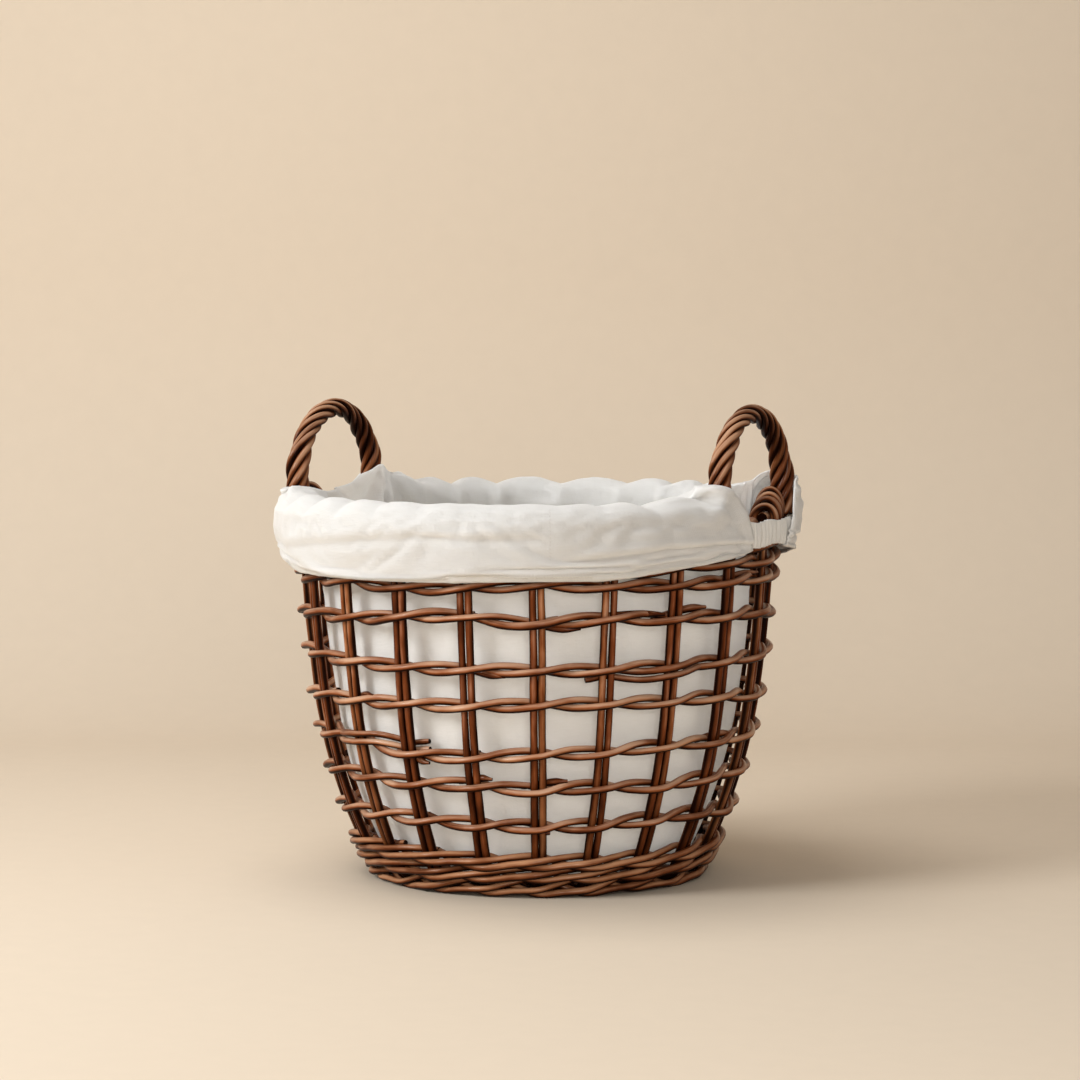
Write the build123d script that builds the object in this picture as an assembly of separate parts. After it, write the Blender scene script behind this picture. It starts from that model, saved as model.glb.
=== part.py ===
"""Round open-weave willow laundry basket with a lift-out cotton liner, in millimetres.

The basket stands on z = 0 with its axis on Z and its two handles on -X and +X.
Pairs of upright stakes are pushed into a round woven base and held by twined rows.
Three rounds of three-rod wale turn the stakes up at the heel, a thick twined border
closes the rim, and a rope-wrapped bow is slipped down outside the rim at each end.
The liner is a sewn bag whose top folds over the rim as a cuff, open round each handle.
"""
import os
from math import asin, atan2, cos, degrees, hypot, pi, radians, sin, sqrt, tan

from build123d import *

# Rods
PAIRS = 20
STAKE_D = 7.4
WEAVER_D = 7.2
BORDER_D = 9.4
WEAVE_GAP = 0.4
SEAT_GAP = 0.3
END_GAP = 1.0

# Wall, measured at the middle of the stakes
HEEL_R = 165.0
HEEL_BEND_R = 20.0
HEEL_LEAN = 27.0
RIM_R = 230.0
RIM_Z = 353.0
RIM_LEAN = 2.0
STAKE_FOOT = 30.0

# Weaving
WALE_ROUNDS = 3
WALE_LEAN = 55.0
OPEN_ROWS = 6
CLOSE_ROWS = 3
ROUND_RODS = 2
WALE_STAGGER = 6
ROW_STAGGER = 7
BORDER_START = 3
STAKE_TIP = 7.0
FLOOR_FLAT = 0.5

# Base
PIERCED_D = 8.4
THREADED_D = 5.2
STICKS_EACH_WAY = 5
STICK_GAP = 0.6
STICK_FAN_R = 30.0
SLATH_EDGE = 3.6
BASE_WALL = 1.0
BASE_EDGE_GAP = 1.2

# Handles
CORE_D = 10.0
WRAP_D = 6.0
WRAP_RODS = 6
WRAP_TURNS = 4
HANDLE_RISE = 24.0
LEG_DEPTH = 50.0

# Liner
CLOTH = 1.6
LINER_GAP = 1.5
CUFF_DROP = 50.0
CUFF_BULGE = 5.5
SLOT_BAND = 26.0
SLOT_ROOM = 1.8
LINER_PANELS = 4
FRONT_SEAM = 300.0

STEP = 360.0 / PAIRS
UP = Vector(0, 0, 1)


def arc_wire(points, tangents):
    """Wire through points with given tangents, two tangent arcs from each point to the next."""
    edges = []
    for start, leave, end, arrive in zip(points, tangents, points[1:], tangents[1:]):
        chord = end - start
        along = chord.dot(leave + arrive)
        turn = 2 * (1 - leave.dot(arrive))
        reach = chord.dot(chord) / (along + sqrt(along * along + turn * chord.dot(chord)))
        first, second = start + leave * reach, end - arrive * reach
        middle = (first + second) * 0.5
        edges.append(Edge.make_tangent_arc(start, leave, middle))
        edges.append(Edge.make_tangent_arc(middle, (second - first).normalized(), end))
    return Wire(edges)


def rod(path, diameter):
    """Round rod along a wire."""
    start = Plane(origin=path @ 0, z_dir=path % 0)
    return sweep(start * Circle(diameter / 2), path=path)


def least_gap(first, second, diameter, samples=2000):
    """Least gap between two rods of one diameter, measured on points of their wires."""
    a = [first @ (i / samples) for i in range(samples + 1)]
    b = [second @ (i / samples) for i in range(samples + 1)]
    window = samples // 20
    best = min((p - q).length for i, p in enumerate(a) for q in b[max(0, i - window):i + window])
    return best - diameter


class WallLine:
    """Middle line of a stake in its upright plane: heel bend, then two arcs up to the rim.

    Lengths along it are counted from the heel, where the bend ends. Lean is measured from
    upright, in radians, outwards.
    """

    def __init__(self, heel_z):
        heel, rim = Vector(HEEL_R, 0, heel_z), Vector(RIM_R, 0, RIM_Z)
        heel_lean, rim_lean = radians(HEEL_LEAN), radians(RIM_LEAN)
        leave = Vector(sin(heel_lean), 0, cos(heel_lean))
        arrive = Vector(sin(rim_lean), 0, cos(rim_lean))
        chord = rim - heel
        along = chord.dot(leave + arrive)
        turn = 2 * (1 - leave.dot(arrive))
        reach = chord.dot(chord) / (along + sqrt(along * along + turn * chord.dot(chord)))
        first, second = heel + leave * reach, rim - arrive * reach
        joint = (first + second) * 0.5
        joint_lean = atan2((second - first).X, (second - first).Z)
        self.lower_r = (joint - heel).length / (2 * sin((heel_lean - joint_lean) / 2))
        self.upper_r = (rim - joint).length / (2 * sin((joint_lean - rim_lean) / 2))
        self.heel, self.joint, self.rim = heel, joint, rim
        self.heel_lean, self.joint_lean, self.rim_lean = heel_lean, joint_lean, rim_lean
        self.lower = self.lower_r * (heel_lean - joint_lean)
        self.length = self.lower + self.upper_r * (joint_lean - rim_lean)

    def at(self, s):
        """Radius, height and lean at length s."""
        if s <= 0:
            origin, lean, bend = self.heel, self.heel_lean, HEEL_BEND_R
        elif s <= self.lower:
            origin, lean, bend = self.heel, self.heel_lean, self.lower_r
        else:
            origin, lean, bend, s = self.joint, self.joint_lean, self.upper_r, s - self.lower
        here = lean - s / bend
        return origin.X + bend * (cos(here) - cos(lean)), origin.Z + bend * (sin(lean) - sin(here)), here

    def inside(self, inset):
        """Points and leans of the side, moved inwards by inset: heel, joint and rim."""
        nodes = ((self.heel, self.heel_lean), (self.joint, self.joint_lean), (self.rim, self.rim_lean))
        return [(p.X - inset * cos(lean), p.Z + inset * sin(lean), lean) for p, lean in nodes]


def swing(radius, diameter):
    """How far a weaver swings in and out of the stake line, so that it clears both stakes of a pair."""
    half_step = pi * radius / PAIRS
    clear = (STAKE_D + diameter) / 2 + WEAVE_GAP
    share = (STAKE_D + WEAVE_GAP) / 2 / half_step
    slope = clear * (4 * share - 3 * share ** 2) / half_step
    return clear * hypot(1, slope) / (1 - 2 * share ** 2 + share ** 3)


# Height of the base, so that the lowest round of wale is cut flat on the floor
wale_lean, heel_lean = radians(WALE_LEAN), radians(HEEL_LEAN)
wale_r = HEEL_R + HEEL_BEND_R * (cos(wale_lean) - cos(heel_lean))
wale_rise = (WEAVER_D + WEAVE_GAP) / 2
wale_drop = swing(wale_r, WEAVER_D) * sin(wale_lean) + wale_rise * cos(wale_lean) + WEAVER_D / 2
heel_z = wale_drop - FLOOR_FLAT + HEEL_BEND_R * (sin(wale_lean) - sin(heel_lean))
base_z = heel_z - HEEL_BEND_R * (1 - sin(heel_lean))
bend_start_r = HEEL_R - HEEL_BEND_R * cos(heel_lean)
wall = WallLine(heel_z)

# A weaver's cycle, one entry each half pair: out of the stake line and up, as shares of its swing
TWINE = ((-1, 0), (0, -1), (1, 0), (0, 1))
WALE = ((-1, 0), (0, -1), (1, -1), (1, 0), (1, 1), (0, 1))


def weaver_paths(s, diameter, cycle, first_pair):
    """Wires of the rods of one twined or waled round at length s of the wall.

    The round has two or three ways, each one pair after the last, and each way is pieced from
    rods that start and end behind a pair of stakes.
    """
    radius, height, lean = wall.at(s)
    out_swing, up_swing = swing(radius, diameter), (diameter + WEAVE_GAP) / 2
    rods = len(cycle) // 2
    half_step = pi / PAIRS
    wires = []
    for j in range(rods):
        pairs = PAIRS + (j - PAIRS) % rods - j
        points, tangents = [], []
        for i in range(2 * pairs + 1):
            angle = (2 * (first_pair + j) + 1 + i) * half_step
            before, here, after = (cycle[(i + k) % len(cycle)] for k in (-1, 0, 1))
            out, up = here[0] * out_swing, here[1] * up_swing
            out_rate = 0 if i % 2 == 0 else (after[0] - before[0]) / 2 * out_swing / half_step
            up_rate = (after[1] - before[1]) / 2 * up_swing / half_step
            r = radius + out * cos(lean) + up * sin(lean)
            r_rate = out_rate * cos(lean) + up_rate * sin(lean)
            z_rate = up_rate * cos(lean) - out_rate * sin(lean)
            away = Vector(cos(angle), sin(angle), 0)
            round_way = Vector(-sin(angle), cos(angle), 0)
            points.append(away * r + UP * (height - out * sin(lean) + up * cos(lean)))
            tangents.append((round_way * r + away * r_rate + UP * z_rate).normalized())
        cycles = len(points) // len(cycle)
        cuts = [k * cycles // ROUND_RODS * len(cycle) for k in range(ROUND_RODS + 1)]
        for a, b in zip(cuts, cuts[1:]):
            end = points[b] - tangents[b] * END_GAP
            wires.append(arc_wire(points[a:b] + [end], tangents[a:b + 1]))
    return wires


def weaver_round(s, diameter, cycle, first_pair):
    """One round of weaving as separate rods."""
    wires = weaver_paths(s, diameter, cycle, first_pair)
    return [rod(wire, diameter) for wire in wires]


def stake_pair(index):
    """Two stakes side by side, each with its foot in the base and its tip in the border."""
    start = Vector(bend_start_r - STAKE_FOOT, 0, base_z)
    bend = Vector(bend_start_r, 0, base_z)
    tangents = [Vector(sin(lean), 0, cos(lean)) for lean in (wall.heel_lean, wall.joint_lean)]
    edges = [
        Edge.make_line(start, bend),
        Edge.make_tangent_arc(bend, Vector(1, 0, 0), wall.heel),
        Edge.make_tangent_arc(wall.heel, tangents[0], wall.joint),
        Edge.make_tangent_arc(wall.joint, tangents[1], wall.rim),
    ]
    stake = rod(Wire(edges), STAKE_D)
    beside = (STAKE_D + WEAVE_GAP) / 2
    turn = Rot(0, 0, (index + 0.5) * STEP)
    return [turn * Pos(0, side * beside, 0) * stake for side in (-1, 1)]


# Base: five sticks slit in the middle, five threaded through them, and the woven disc
pierced_pitch, threaded_pitch = PIERCED_D + STICK_GAP, THREADED_D + STICK_GAP
middle_stick = STICKS_EACH_WAY // 2
bundle_half = middle_stick * pierced_pitch + PIERCED_D / 2
slath_half = bundle_half + SLATH_EDGE
slit_half = middle_stick * threaded_pitch + THREADED_D / 2 + SEAT_GAP
base_edge_r = bend_start_r - BASE_EDGE_GAP
base_half = max(PIERCED_D, STAKE_D) / 2 + SEAT_GAP + BASE_WALL


def stick_fan(k, pitch):
    """Half of a stick from the base's centre: where it leaves the bundle, its turn and its end."""
    fan = radians(k * STEP)
    leave = Vector(slath_half, k * pitch, base_z)
    end = Vector(base_edge_r * cos(fan), base_edge_r * sin(fan), base_z)
    across = abs(end.Y - leave.Y) - STICK_FAN_R
    ahead = end.X - leave.X
    turn = atan2(across, ahead) + asin(STICK_FAN_R / hypot(across, ahead)) if k else 0.0
    return leave, turn, end


def base_sticks(diameter, pitch, turned_by):
    """Sticks that lie side by side in the middle of the base and fan out to its edge."""
    sticks = []
    for k in range(-middle_stick, middle_stick + 1):
        leave, turn, end = stick_fan(k, pitch)
        corner = leave + Vector(STICK_FAN_R * tan(turn / 2), 0, 0)
        points = [Vector(-end.X, end.Y, end.Z), Vector(-corner.X, corner.Y, corner.Z), corner, end]
        if k == 0:
            path = Wire([Edge.make_line(points[0], points[-1])])
        else:
            path = FilletPolyline(*points, radius=STICK_FAN_R).wire()
        sticks.append(Rot(0, 0, turned_by) * rod(path, diameter))
    return sticks


def pierced_sticks():
    """The five sticks that are slit in the middle, where the others pass through."""
    slit = Pos(0, 0, base_z) * Box(2 * slit_half, 2 * slath_half, THREADED_D + 2 * SEAT_GAP)
    return [stick - slit for stick in base_sticks(PIERCED_D, pierced_pitch, 0)]


def stick_ways(diameter, pitch, turned_by):
    """Square ways through the woven disc, one for each half of a stick."""
    ways = []
    across = diameter + 2 * SEAT_GAP
    for k in range(-middle_stick, middle_stick + 1):
        _, turn, end = stick_fan(k, pitch)
        heading = degrees(turn) * (1 if k > 0 else -1)
        bar = Box(2 * (base_edge_r - slath_half), across, across)
        way = Pos(end.X, end.Y, end.Z) * Rot(0, 0, heading) * bar
        ways += [Rot(0, 0, turned_by + half) * way for half in (0, 180)]
    return ways


def base_weave():
    """Woven disc of the base, with the ways of its sticks and of the stakes' feet."""
    leave, turn, _ = stick_fan(middle_stick, pierced_pitch)
    start_r = hypot(leave.X + STICK_FAN_R * sin(turn), leave.Y + STICK_FAN_R * (1 - cos(turn)))
    disc = Pos(0, 0, base_z) * Cylinder(base_edge_r, 2 * base_half)
    disc -= Pos(0, 0, base_z) * Cylinder(start_r + PIERCED_D / 2, 4 * base_half)
    ways = stick_ways(PIERCED_D, pierced_pitch, 0) + stick_ways(THREADED_D, threaded_pitch, 90)
    foot_way = Box(2 * STAKE_FOOT, 2 * STAKE_D + WEAVE_GAP + 2 * SEAT_GAP, STAKE_D + 2 * SEAT_GAP)
    foot_r = bend_start_r - SEAT_GAP
    for i in range(PAIRS):
        ways.append(Rot(0, 0, (i + 0.5) * STEP) * Pos(foot_r, 0, base_z) * foot_way)
    return [disc - ways]


# Heights of the rounds, as lengths along the wall
round_pitch = 2 * (WEAVER_D + WEAVE_GAP)
wale_start = -HEEL_BEND_R * (wale_lean - heel_lean)
wale_lengths = [wale_start + k * round_pitch for k in range(WALE_ROUNDS)]
border_length = wall.length - STAKE_TIP
close_top = border_length - (BORDER_D + WEAVER_D) - 2 * WEAVE_GAP
close_lengths = [close_top - k * round_pitch for k in range(CLOSE_ROWS)]
open_pitch = (close_lengths[-1] - wale_lengths[-1]) / (OPEN_ROWS + 1)
open_lengths = [wale_lengths[-1] + (k + 1) * open_pitch for k in range(OPEN_ROWS)]
row_lengths = open_lengths + close_lengths[::-1]

# Handles: a bow that springs from two gaps between pairs, and rods wound round it
border_r, border_z, _ = wall.at(border_length)
border_top = border_z + BORDER_D + WEAVE_GAP / 2
border_slope = swing(border_r, BORDER_D) * PAIRS / (pi * border_r)
handle_r = border_r + ((BORDER_D + CORE_D) / 2 + WEAVE_GAP) * hypot(1, border_slope)
handle_half = handle_r * sin(radians(STEP))
handle_x = handle_r * cos(radians(STEP))
spring_z = border_top + HANDLE_RISE
wrap_r = (CORE_D + WRAP_D) / 2 + SEAT_GAP
rope_r = wrap_r + WRAP_D / 2


def bow_core():
    """Thick rod bent to a bow, with legs that reach down outside the rim."""
    foot = Vector(handle_x, -handle_half, border_top - LEG_DEPTH)
    spring = Vector(handle_x, -handle_half, spring_z)
    crown = Vector(handle_x, 0, spring_z + handle_half)
    edges = [
        Edge.make_line(foot, spring),
        Edge.make_three_point_arc(spring, crown, Vector(handle_x, handle_half, spring_z)),
        Edge.make_line(Vector(handle_x, handle_half, spring_z), Vector(handle_x, handle_half, foot.Z)),
    ]
    return [rod(Wire(edges), CORE_D)]


def bow_at(length):
    """Point of the bow, its direction and its outward side, at a length from the border's top."""
    arch = pi * handle_half
    if length <= HANDLE_RISE:
        return Vector(handle_x, -handle_half, border_top + length), UP, Vector(0, -1, 0)
    if length >= HANDLE_RISE + arch:
        down = length - HANDLE_RISE - arch
        return Vector(handle_x, handle_half, spring_z - down), UP * -1, Vector(0, 1, 0)
    turn = (length - HANDLE_RISE) / handle_half
    side = Vector(0, -cos(turn), sin(turn))
    return Vector(handle_x, 0, spring_z) + side * handle_half, Vector(0, sin(turn), cos(turn)), side


def bow_wrap():
    """Rods wound side by side round the bow, each one unbroken from leg to leg."""
    total = 2 * HANDLE_RISE + pi * handle_half
    quarters = 4 * WRAP_TURNS
    rate = 2 * pi * WRAP_TURNS / total
    start = rope_r
    wires = []
    for j in range(WRAP_RODS):
        points, tangents = [], []
        for i in range(quarters + 1):
            length = start + (total - 2 * start) * i / quarters
            middle, ahead, side = bow_at(length)
            phase = rate * length + 2 * pi * j / WRAP_RODS
            across = Vector(1, 0, 0)
            points.append(middle + (side * cos(phase) + across * sin(phase)) * wrap_r)
            bent = 1 + wrap_r * cos(phase) / handle_half if HANDLE_RISE < length < total - HANDLE_RISE else 1
            sway = (across * cos(phase) - side * sin(phase)) * (wrap_r * rate)
            tangents.append((ahead * bent + sway).normalized())
        wires.append(arc_wire(points, tangents))
    print("handle wrap, least gap between rods", round(least_gap(wires[0], wires[1], WRAP_D), 2))
    return [rod(wire, WRAP_D) for wire in wires]


# Liner
weave_reach = max(swing(wall.at(s)[0], WEAVER_D) for s in wale_lengths) + WEAVER_D / 2
border_reach = swing(border_r, BORDER_D) + BORDER_D / 2
wall_inset = max(weave_reach, border_reach) + LINER_GAP + CLOTH / 2
floor_z = base_z + base_half + SEAT_GAP
hem_r = handle_r + rope_r + SEAT_GAP + CLOTH
slot_half = STEP + degrees(rope_r / handle_r) + SLOT_ROOM
inner_line = wall.inside(wall_inset)
fold_r, fold_z, fold_lean = inner_line[-1]
bulge_r = hem_r + CUFF_BULGE


def ribbon(nodes):
    """Face of cloth thickness along nodes (radius, height, lean), joined by tangent arcs."""
    sides = []
    for offset in (-CLOTH / 2, CLOTH / 2):
        points = [Vector(r + offset * cos(lean), 0, z - offset * sin(lean)) for r, z, lean in nodes]
        edges = []
        for a, b, node in zip(points, points[1:], nodes):
            leave = Vector(sin(node[2]), 0, cos(node[2]))
            straight = leave.cross((b - a).normalized()).length < 1e-9
            edges.append(Edge.make_line(a, b) if straight else Edge.make_tangent_arc(a, leave, b))
        sides.append((points, edges))
    (left, left_edges), (right, right_edges) = sides
    ends = [Edge.make_line(left[0], right[0]), Edge.make_line(left[-1], right[-1])]
    return Face(Wire.combine(left_edges + right_edges + ends)[0])


def cuff_node(height):
    """Node of the cuff's outside fall at a height between its bulge and its hem."""
    fall_r = (CUFF_DROP ** 2 + CUFF_BULGE ** 2) / (2 * CUFF_BULGE)
    lean = pi + asin((fold_z - height) / fall_r)
    return bulge_r - fall_r * (1 - cos(lean - pi)), height, lean


def turned(face, start, sweep_angle):
    """Solid of a face in the XZ plane, turned about Z from a start angle."""
    return Rot(0, 0, start) * revolve(face, axis=Axis.Z, revolution_arc=sweep_angle)


def liner_foot():
    """Lowest node of the bag's side, just above its bottom panel."""
    r, z, lean = inner_line[0]
    drop = z - floor_z - CLOTH - CLOTH * sin(lean)
    return r - drop * tan(lean), z - drop, lean


def liner_bottom():
    """Round bottom panel of the bag, on the woven base."""
    radius = liner_foot()[0] + CLOTH / 2
    disc = Cylinder(radius, CLOTH, align=(Align.CENTER, Align.CENTER, Align.MIN))
    return [Pos(0, 0, floor_z) * disc]


def liner_wall():
    """Side of the bag, sewn from panels, from its bottom panel up to the fold."""
    side = ribbon([liner_foot()] + inner_line)
    panel = 360 / LINER_PANELS
    return [turned(side, FRONT_SEAM + k * panel, panel) for k in range(LINER_PANELS)]


def cuff(start, sweep_angle):
    """Folded top of the bag: up over the border and down outside it to the hem."""
    nodes = [(fold_r, fold_z, fold_lean), (bulge_r, fold_z, pi), cuff_node(fold_z - CUFF_DROP)]
    return [turned(ribbon(nodes), start, sweep_angle)]


def slot_band(start):
    """Gathered band that runs on outside a handle, between the two cuffs."""
    nodes = [cuff_node(fold_z), cuff_node(fold_z - SLOT_BAND)]
    return [turned(ribbon(nodes), start, 2 * slot_half)]


def on_floor(rods):
    """Rods cut flat where they stand on the floor."""
    room = 2 * (HEEL_R + HEEL_BEND_R + BORDER_D * 2)
    under = Box(room, room, STAKE_D, align=(Align.CENTER, Align.CENTER, Align.MAX))
    return [piece - under for piece in rods]


def main():
    """Build every node and write one STEP file for each."""
    nodes = {}
    for i in range(PAIRS):
        nodes[f"stake_pair_{i + 1:02d}"] = stake_pair(i)
    nodes["pierced_base_sticks"] = pierced_sticks()
    nodes["threaded_base_sticks"] = base_sticks(THREADED_D, threaded_pitch, 90)
    nodes["base_weave"] = base_weave()
    wale_names = ["heel_wale", "lower_wale", "upper_wale"]
    for k, s in enumerate(wale_lengths):
        rods = weaver_round(s, WEAVER_D, WALE, WALE_STAGGER * k)
        nodes[wale_names[k]] = on_floor(rods) if k == 0 else rods
    for k, s in enumerate(row_lengths):
        nodes[f"twined_row_{k + 1}"] = weaver_round(s, WEAVER_D, TWINE, ROW_STAGGER * k)
    nodes["border"] = weaver_round(border_length, BORDER_D, TWINE, BORDER_START)
    core, wrap = bow_core(), bow_wrap()
    for name, turn in (("right", 0), ("left", 180)):
        nodes[f"{name}_handle_core"] = [Rot(0, 0, turn) * piece for piece in core]
        nodes[f"{name}_handle_wrap"] = [Rot(0, 0, turn) * piece for piece in wrap]
    nodes["liner_bottom"] = liner_bottom()
    nodes["liner_wall"] = liner_wall()
    side = 180 - 2 * slot_half
    nodes["liner_front_cuff"] = cuff(180 + slot_half, side)
    nodes["liner_back_cuff"] = cuff(slot_half, side)
    nodes["liner_right_slot_band"] = slot_band(-slot_half)
    nodes["liner_left_slot_band"] = slot_band(180 - slot_half)

    os.makedirs("parts", exist_ok=True)
    for name, solids in nodes.items():
        export_step(solids[0] if len(solids) == 1 else Compound(children=solids), f"parts/{name}.step")
    print("nodes", len(nodes), "rows at", [round(wall.at(s)[1]) for s in row_lengths])


main()
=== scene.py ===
"""Looks of a round willow laundry basket and its cotton liner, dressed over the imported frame.

Everything is in metres in the frame's own axes: the basket stands on z = 0 with its axis on Z and its
handles on -X and +X. The willow is woven again, rod by rod, round the frame's stakes, and the liner is
one sewn sheet that a cloth simulation settles over the rim.
"""

import logging
import math
from dataclasses import dataclass
from enum import Enum

import bmesh
import bpy
import numpy as np
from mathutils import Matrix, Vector

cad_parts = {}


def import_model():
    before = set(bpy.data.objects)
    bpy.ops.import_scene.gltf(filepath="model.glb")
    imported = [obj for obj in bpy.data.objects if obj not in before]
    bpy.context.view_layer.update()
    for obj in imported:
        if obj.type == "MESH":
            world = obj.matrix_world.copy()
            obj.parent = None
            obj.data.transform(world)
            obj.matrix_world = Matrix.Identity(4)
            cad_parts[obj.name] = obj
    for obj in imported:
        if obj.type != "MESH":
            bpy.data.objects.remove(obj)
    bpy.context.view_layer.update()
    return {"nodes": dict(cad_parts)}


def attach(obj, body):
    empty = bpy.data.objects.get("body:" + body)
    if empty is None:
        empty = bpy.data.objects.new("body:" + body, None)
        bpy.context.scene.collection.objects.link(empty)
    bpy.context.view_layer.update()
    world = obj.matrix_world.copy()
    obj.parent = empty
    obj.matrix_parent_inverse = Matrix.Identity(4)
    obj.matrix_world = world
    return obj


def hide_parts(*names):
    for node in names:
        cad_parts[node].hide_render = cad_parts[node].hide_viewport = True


log = logging.getLogger("willow_basket")

Array = np.ndarray
Colour = tuple[float, float, float]
Socket = bpy.types.NodeSocket
Tree = bpy.types.NodeTree
Mesh = bpy.types.Mesh
Piece = bpy.types.Object
Material = bpy.types.Material
TURN = 2 * math.pi


class Body(Enum):
    """Bodies of the frame that pieces ride on."""

    BASKET = "basket"
    LINER = "liner"


class Slot(Enum):
    """Material slots of the record."""

    STAKE = "stake_willow"
    WEAVER = "weaver_willow"
    BASE = "base_willow"
    HANDLE = "handle_willow"
    COTTON = "liner_cotton"


class Cycle(Enum):
    """A weaver's way round the pairs, one entry each half pair: out of the stake line and up."""

    TWINE = ((-1, 0), (0, -1), (1, 0), (0, 1))
    WALE = ((-1, 0), (0, -1), (1, -1), (1, 0), (1, 1), (0, 1))


def spline_round(values: Array, at: Array) -> Array:
    """Smooth closed curve through evenly spaced values.

    Args:
        values: The values, one each unit, repeated without end.
        at: Places on the curve.

    Returns:
        The curve's value at each place.
    """
    first = np.floor(at).astype(int)
    t = at - first
    a, b, c, d = (values[(first + k) % len(values)] for k in (-1, 0, 1, 2))
    return b + 0.5 * t * (c - a + t * (2 * a - 5 * b + 4 * c - d + t * (3 * (b - c) + d - a)))


def wander(rng: np.random.Generator, knots: int, size: float) -> Array:
    """Random knots of a closed curve with zero mean.

    Args:
        rng: Seeded source of numbers.
        knots: Count of knots.
        size: Standard deviation.

    Returns:
        The knots, for spline_round.
    """
    drawn = rng.normal(0, size, knots)
    return drawn - drawn.mean()


def smooth_step(value: Array, low: float, high: float) -> Array:
    """Rise from 0 to 1 between two limits, level at both."""
    t = np.clip((value - low) / (high - low), 0, 1)
    return t * t * (3 - 2 * t)


def wandering(rng: np.random.Generator, knots: int, size: float, angle: Array) -> Array:
    """Smooth random values of zero mean round the basket, at some angles."""
    return spline_round(wander(rng, knots, size), angle * knots / TURN)


def round_points(radius: Array, angle: Array, height: Array | float, *more: Array) -> Array:
    """Points from radii, angles round the axis and heights, with further values beside them."""
    parts = np.broadcast_arrays(radius * np.cos(angle), radius * np.sin(angle), height, *more)
    return np.stack(parts, -1)


def lengths_along(points: Array) -> Array:
    """Length along straight runs from the first point to each."""
    return np.concatenate(([0], np.cumsum(np.linalg.norm(np.diff(points, axis=0), axis=1))))


def grid_quads(grid: Array) -> Array:
    """Values at the four corners of each face of a grid."""
    return np.stack((grid[:-1, :-1], grid[:-1, 1:], grid[1:, 1:], grid[1:, :-1]), 2).reshape(-1, 4)


@dataclass(frozen=True)
class WallLine:
    """Middle line of a stake: a bend at the heel, then two arcs up to the rim."""

    base_height: float = 0.00836
    heel_radius: float = 0.165
    heel_bend: float = 0.020
    heel_lean: float = math.radians(27)
    rim_radius: float = 0.230
    rim_height: float = 0.353
    rim_lean: float = math.radians(2)

    @property
    def heel_height(self) -> float:
        """Height at which the bend ends."""
        return self.base_height + self.heel_bend * (1 - math.sin(self.heel_lean))

    @property
    def bend_start(self) -> float:
        """Radius at which the bend starts."""
        return self.heel_radius - self.heel_bend * math.cos(self.heel_lean)

    def arcs(self) -> tuple[Array, float, float, float, float]:
        """The two arcs of the side.

        Returns:
            The point where they meet, the lean there, both radii and the lower arc's length.
        """
        heel = np.array((self.heel_radius, self.heel_height))
        rim = np.array((self.rim_radius, self.rim_height))
        leave = np.array((math.sin(self.heel_lean), math.cos(self.heel_lean)))
        arrive = np.array((math.sin(self.rim_lean), math.cos(self.rim_lean)))
        chord = rim - heel
        along = chord @ (leave + arrive)
        turn = 2 * (1 - leave @ arrive)
        reach = chord @ chord / (along + math.sqrt(along ** 2 + turn * (chord @ chord)))
        first, second = heel + leave * reach, rim - arrive * reach
        joint = (first + second) / 2
        lean = math.atan2(*(second - first))
        lower = np.linalg.norm(joint - heel) / (2 * math.sin((self.heel_lean - lean) / 2))
        upper = np.linalg.norm(rim - joint) / (2 * math.sin((lean - self.rim_lean) / 2))
        return joint, lean, lower, upper, lower * (self.heel_lean - lean)

    @property
    def length(self) -> float:
        """Length from the heel to the rim."""
        _, lean, _, upper, lower_length = self.arcs()
        return lower_length + upper * (lean - self.rim_lean)

    def at(self, s: Array | float) -> tuple[Array, Array, Array]:
        """Place on the line.

        Args:
            s: Length from the heel, negative in the bend.

        Returns:
            Radius, height and lean from upright.
        """
        s = np.asarray(s, float)
        joint, joint_lean, lower, upper, lower_length = self.arcs()
        in_upper, in_bend = s > lower_length, s <= 0
        lean0 = np.where(in_upper, joint_lean, self.heel_lean)
        bend = np.where(in_upper, upper, np.where(in_bend, self.heel_bend, lower))
        here = lean0 - np.where(in_upper, s - lower_length, s) / bend
        r0 = np.where(in_upper, joint[0], self.heel_radius)
        z0 = np.where(in_upper, joint[1], self.heel_height)
        return r0 + bend * (np.cos(here) - np.cos(lean0)), z0 + bend * (np.sin(lean0) - np.sin(here)), here


@dataclass(frozen=True)
class Rod:
    """One willow rod: its middle line, its radius at each point and its shade from 0 to 1.

    The side that sets the painted highlight and the painted shade is given at each point, and is away from
    the basket's axis where it isn't.
    """

    points: Array
    radius: Array
    tone: float
    # Side that sets the rod's painted highlight and painted shade, where given.
    outward: Array | None = None

    def painted_light_side(self) -> Array:
        """Unit vectors to the side that sets the painted highlight and the painted shade.

        Returns:
            A direction for each point.
        """
        if self.outward is not None:
            return self.outward
        level = self.points * (1, 1, 0)
        return level / np.maximum(np.linalg.norm(level, axis=1, keepdims=True), 1e-6)


def tapered(count: int, butt: float, tip: float, cut: float = 0.82) -> Array:
    """Radius along a rod from butt to tip, eased at both cut ends.

    Args:
        count: Count of points.
        butt: Radius at the thick end.
        tip: Radius at the thin end.
        cut: Share of the radius that is left at the very ends.

    Returns:
        A radius for each point.
    """
    radius = np.linspace(butt, tip, count)
    radius[[0, -1]] *= cut
    return radius


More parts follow.
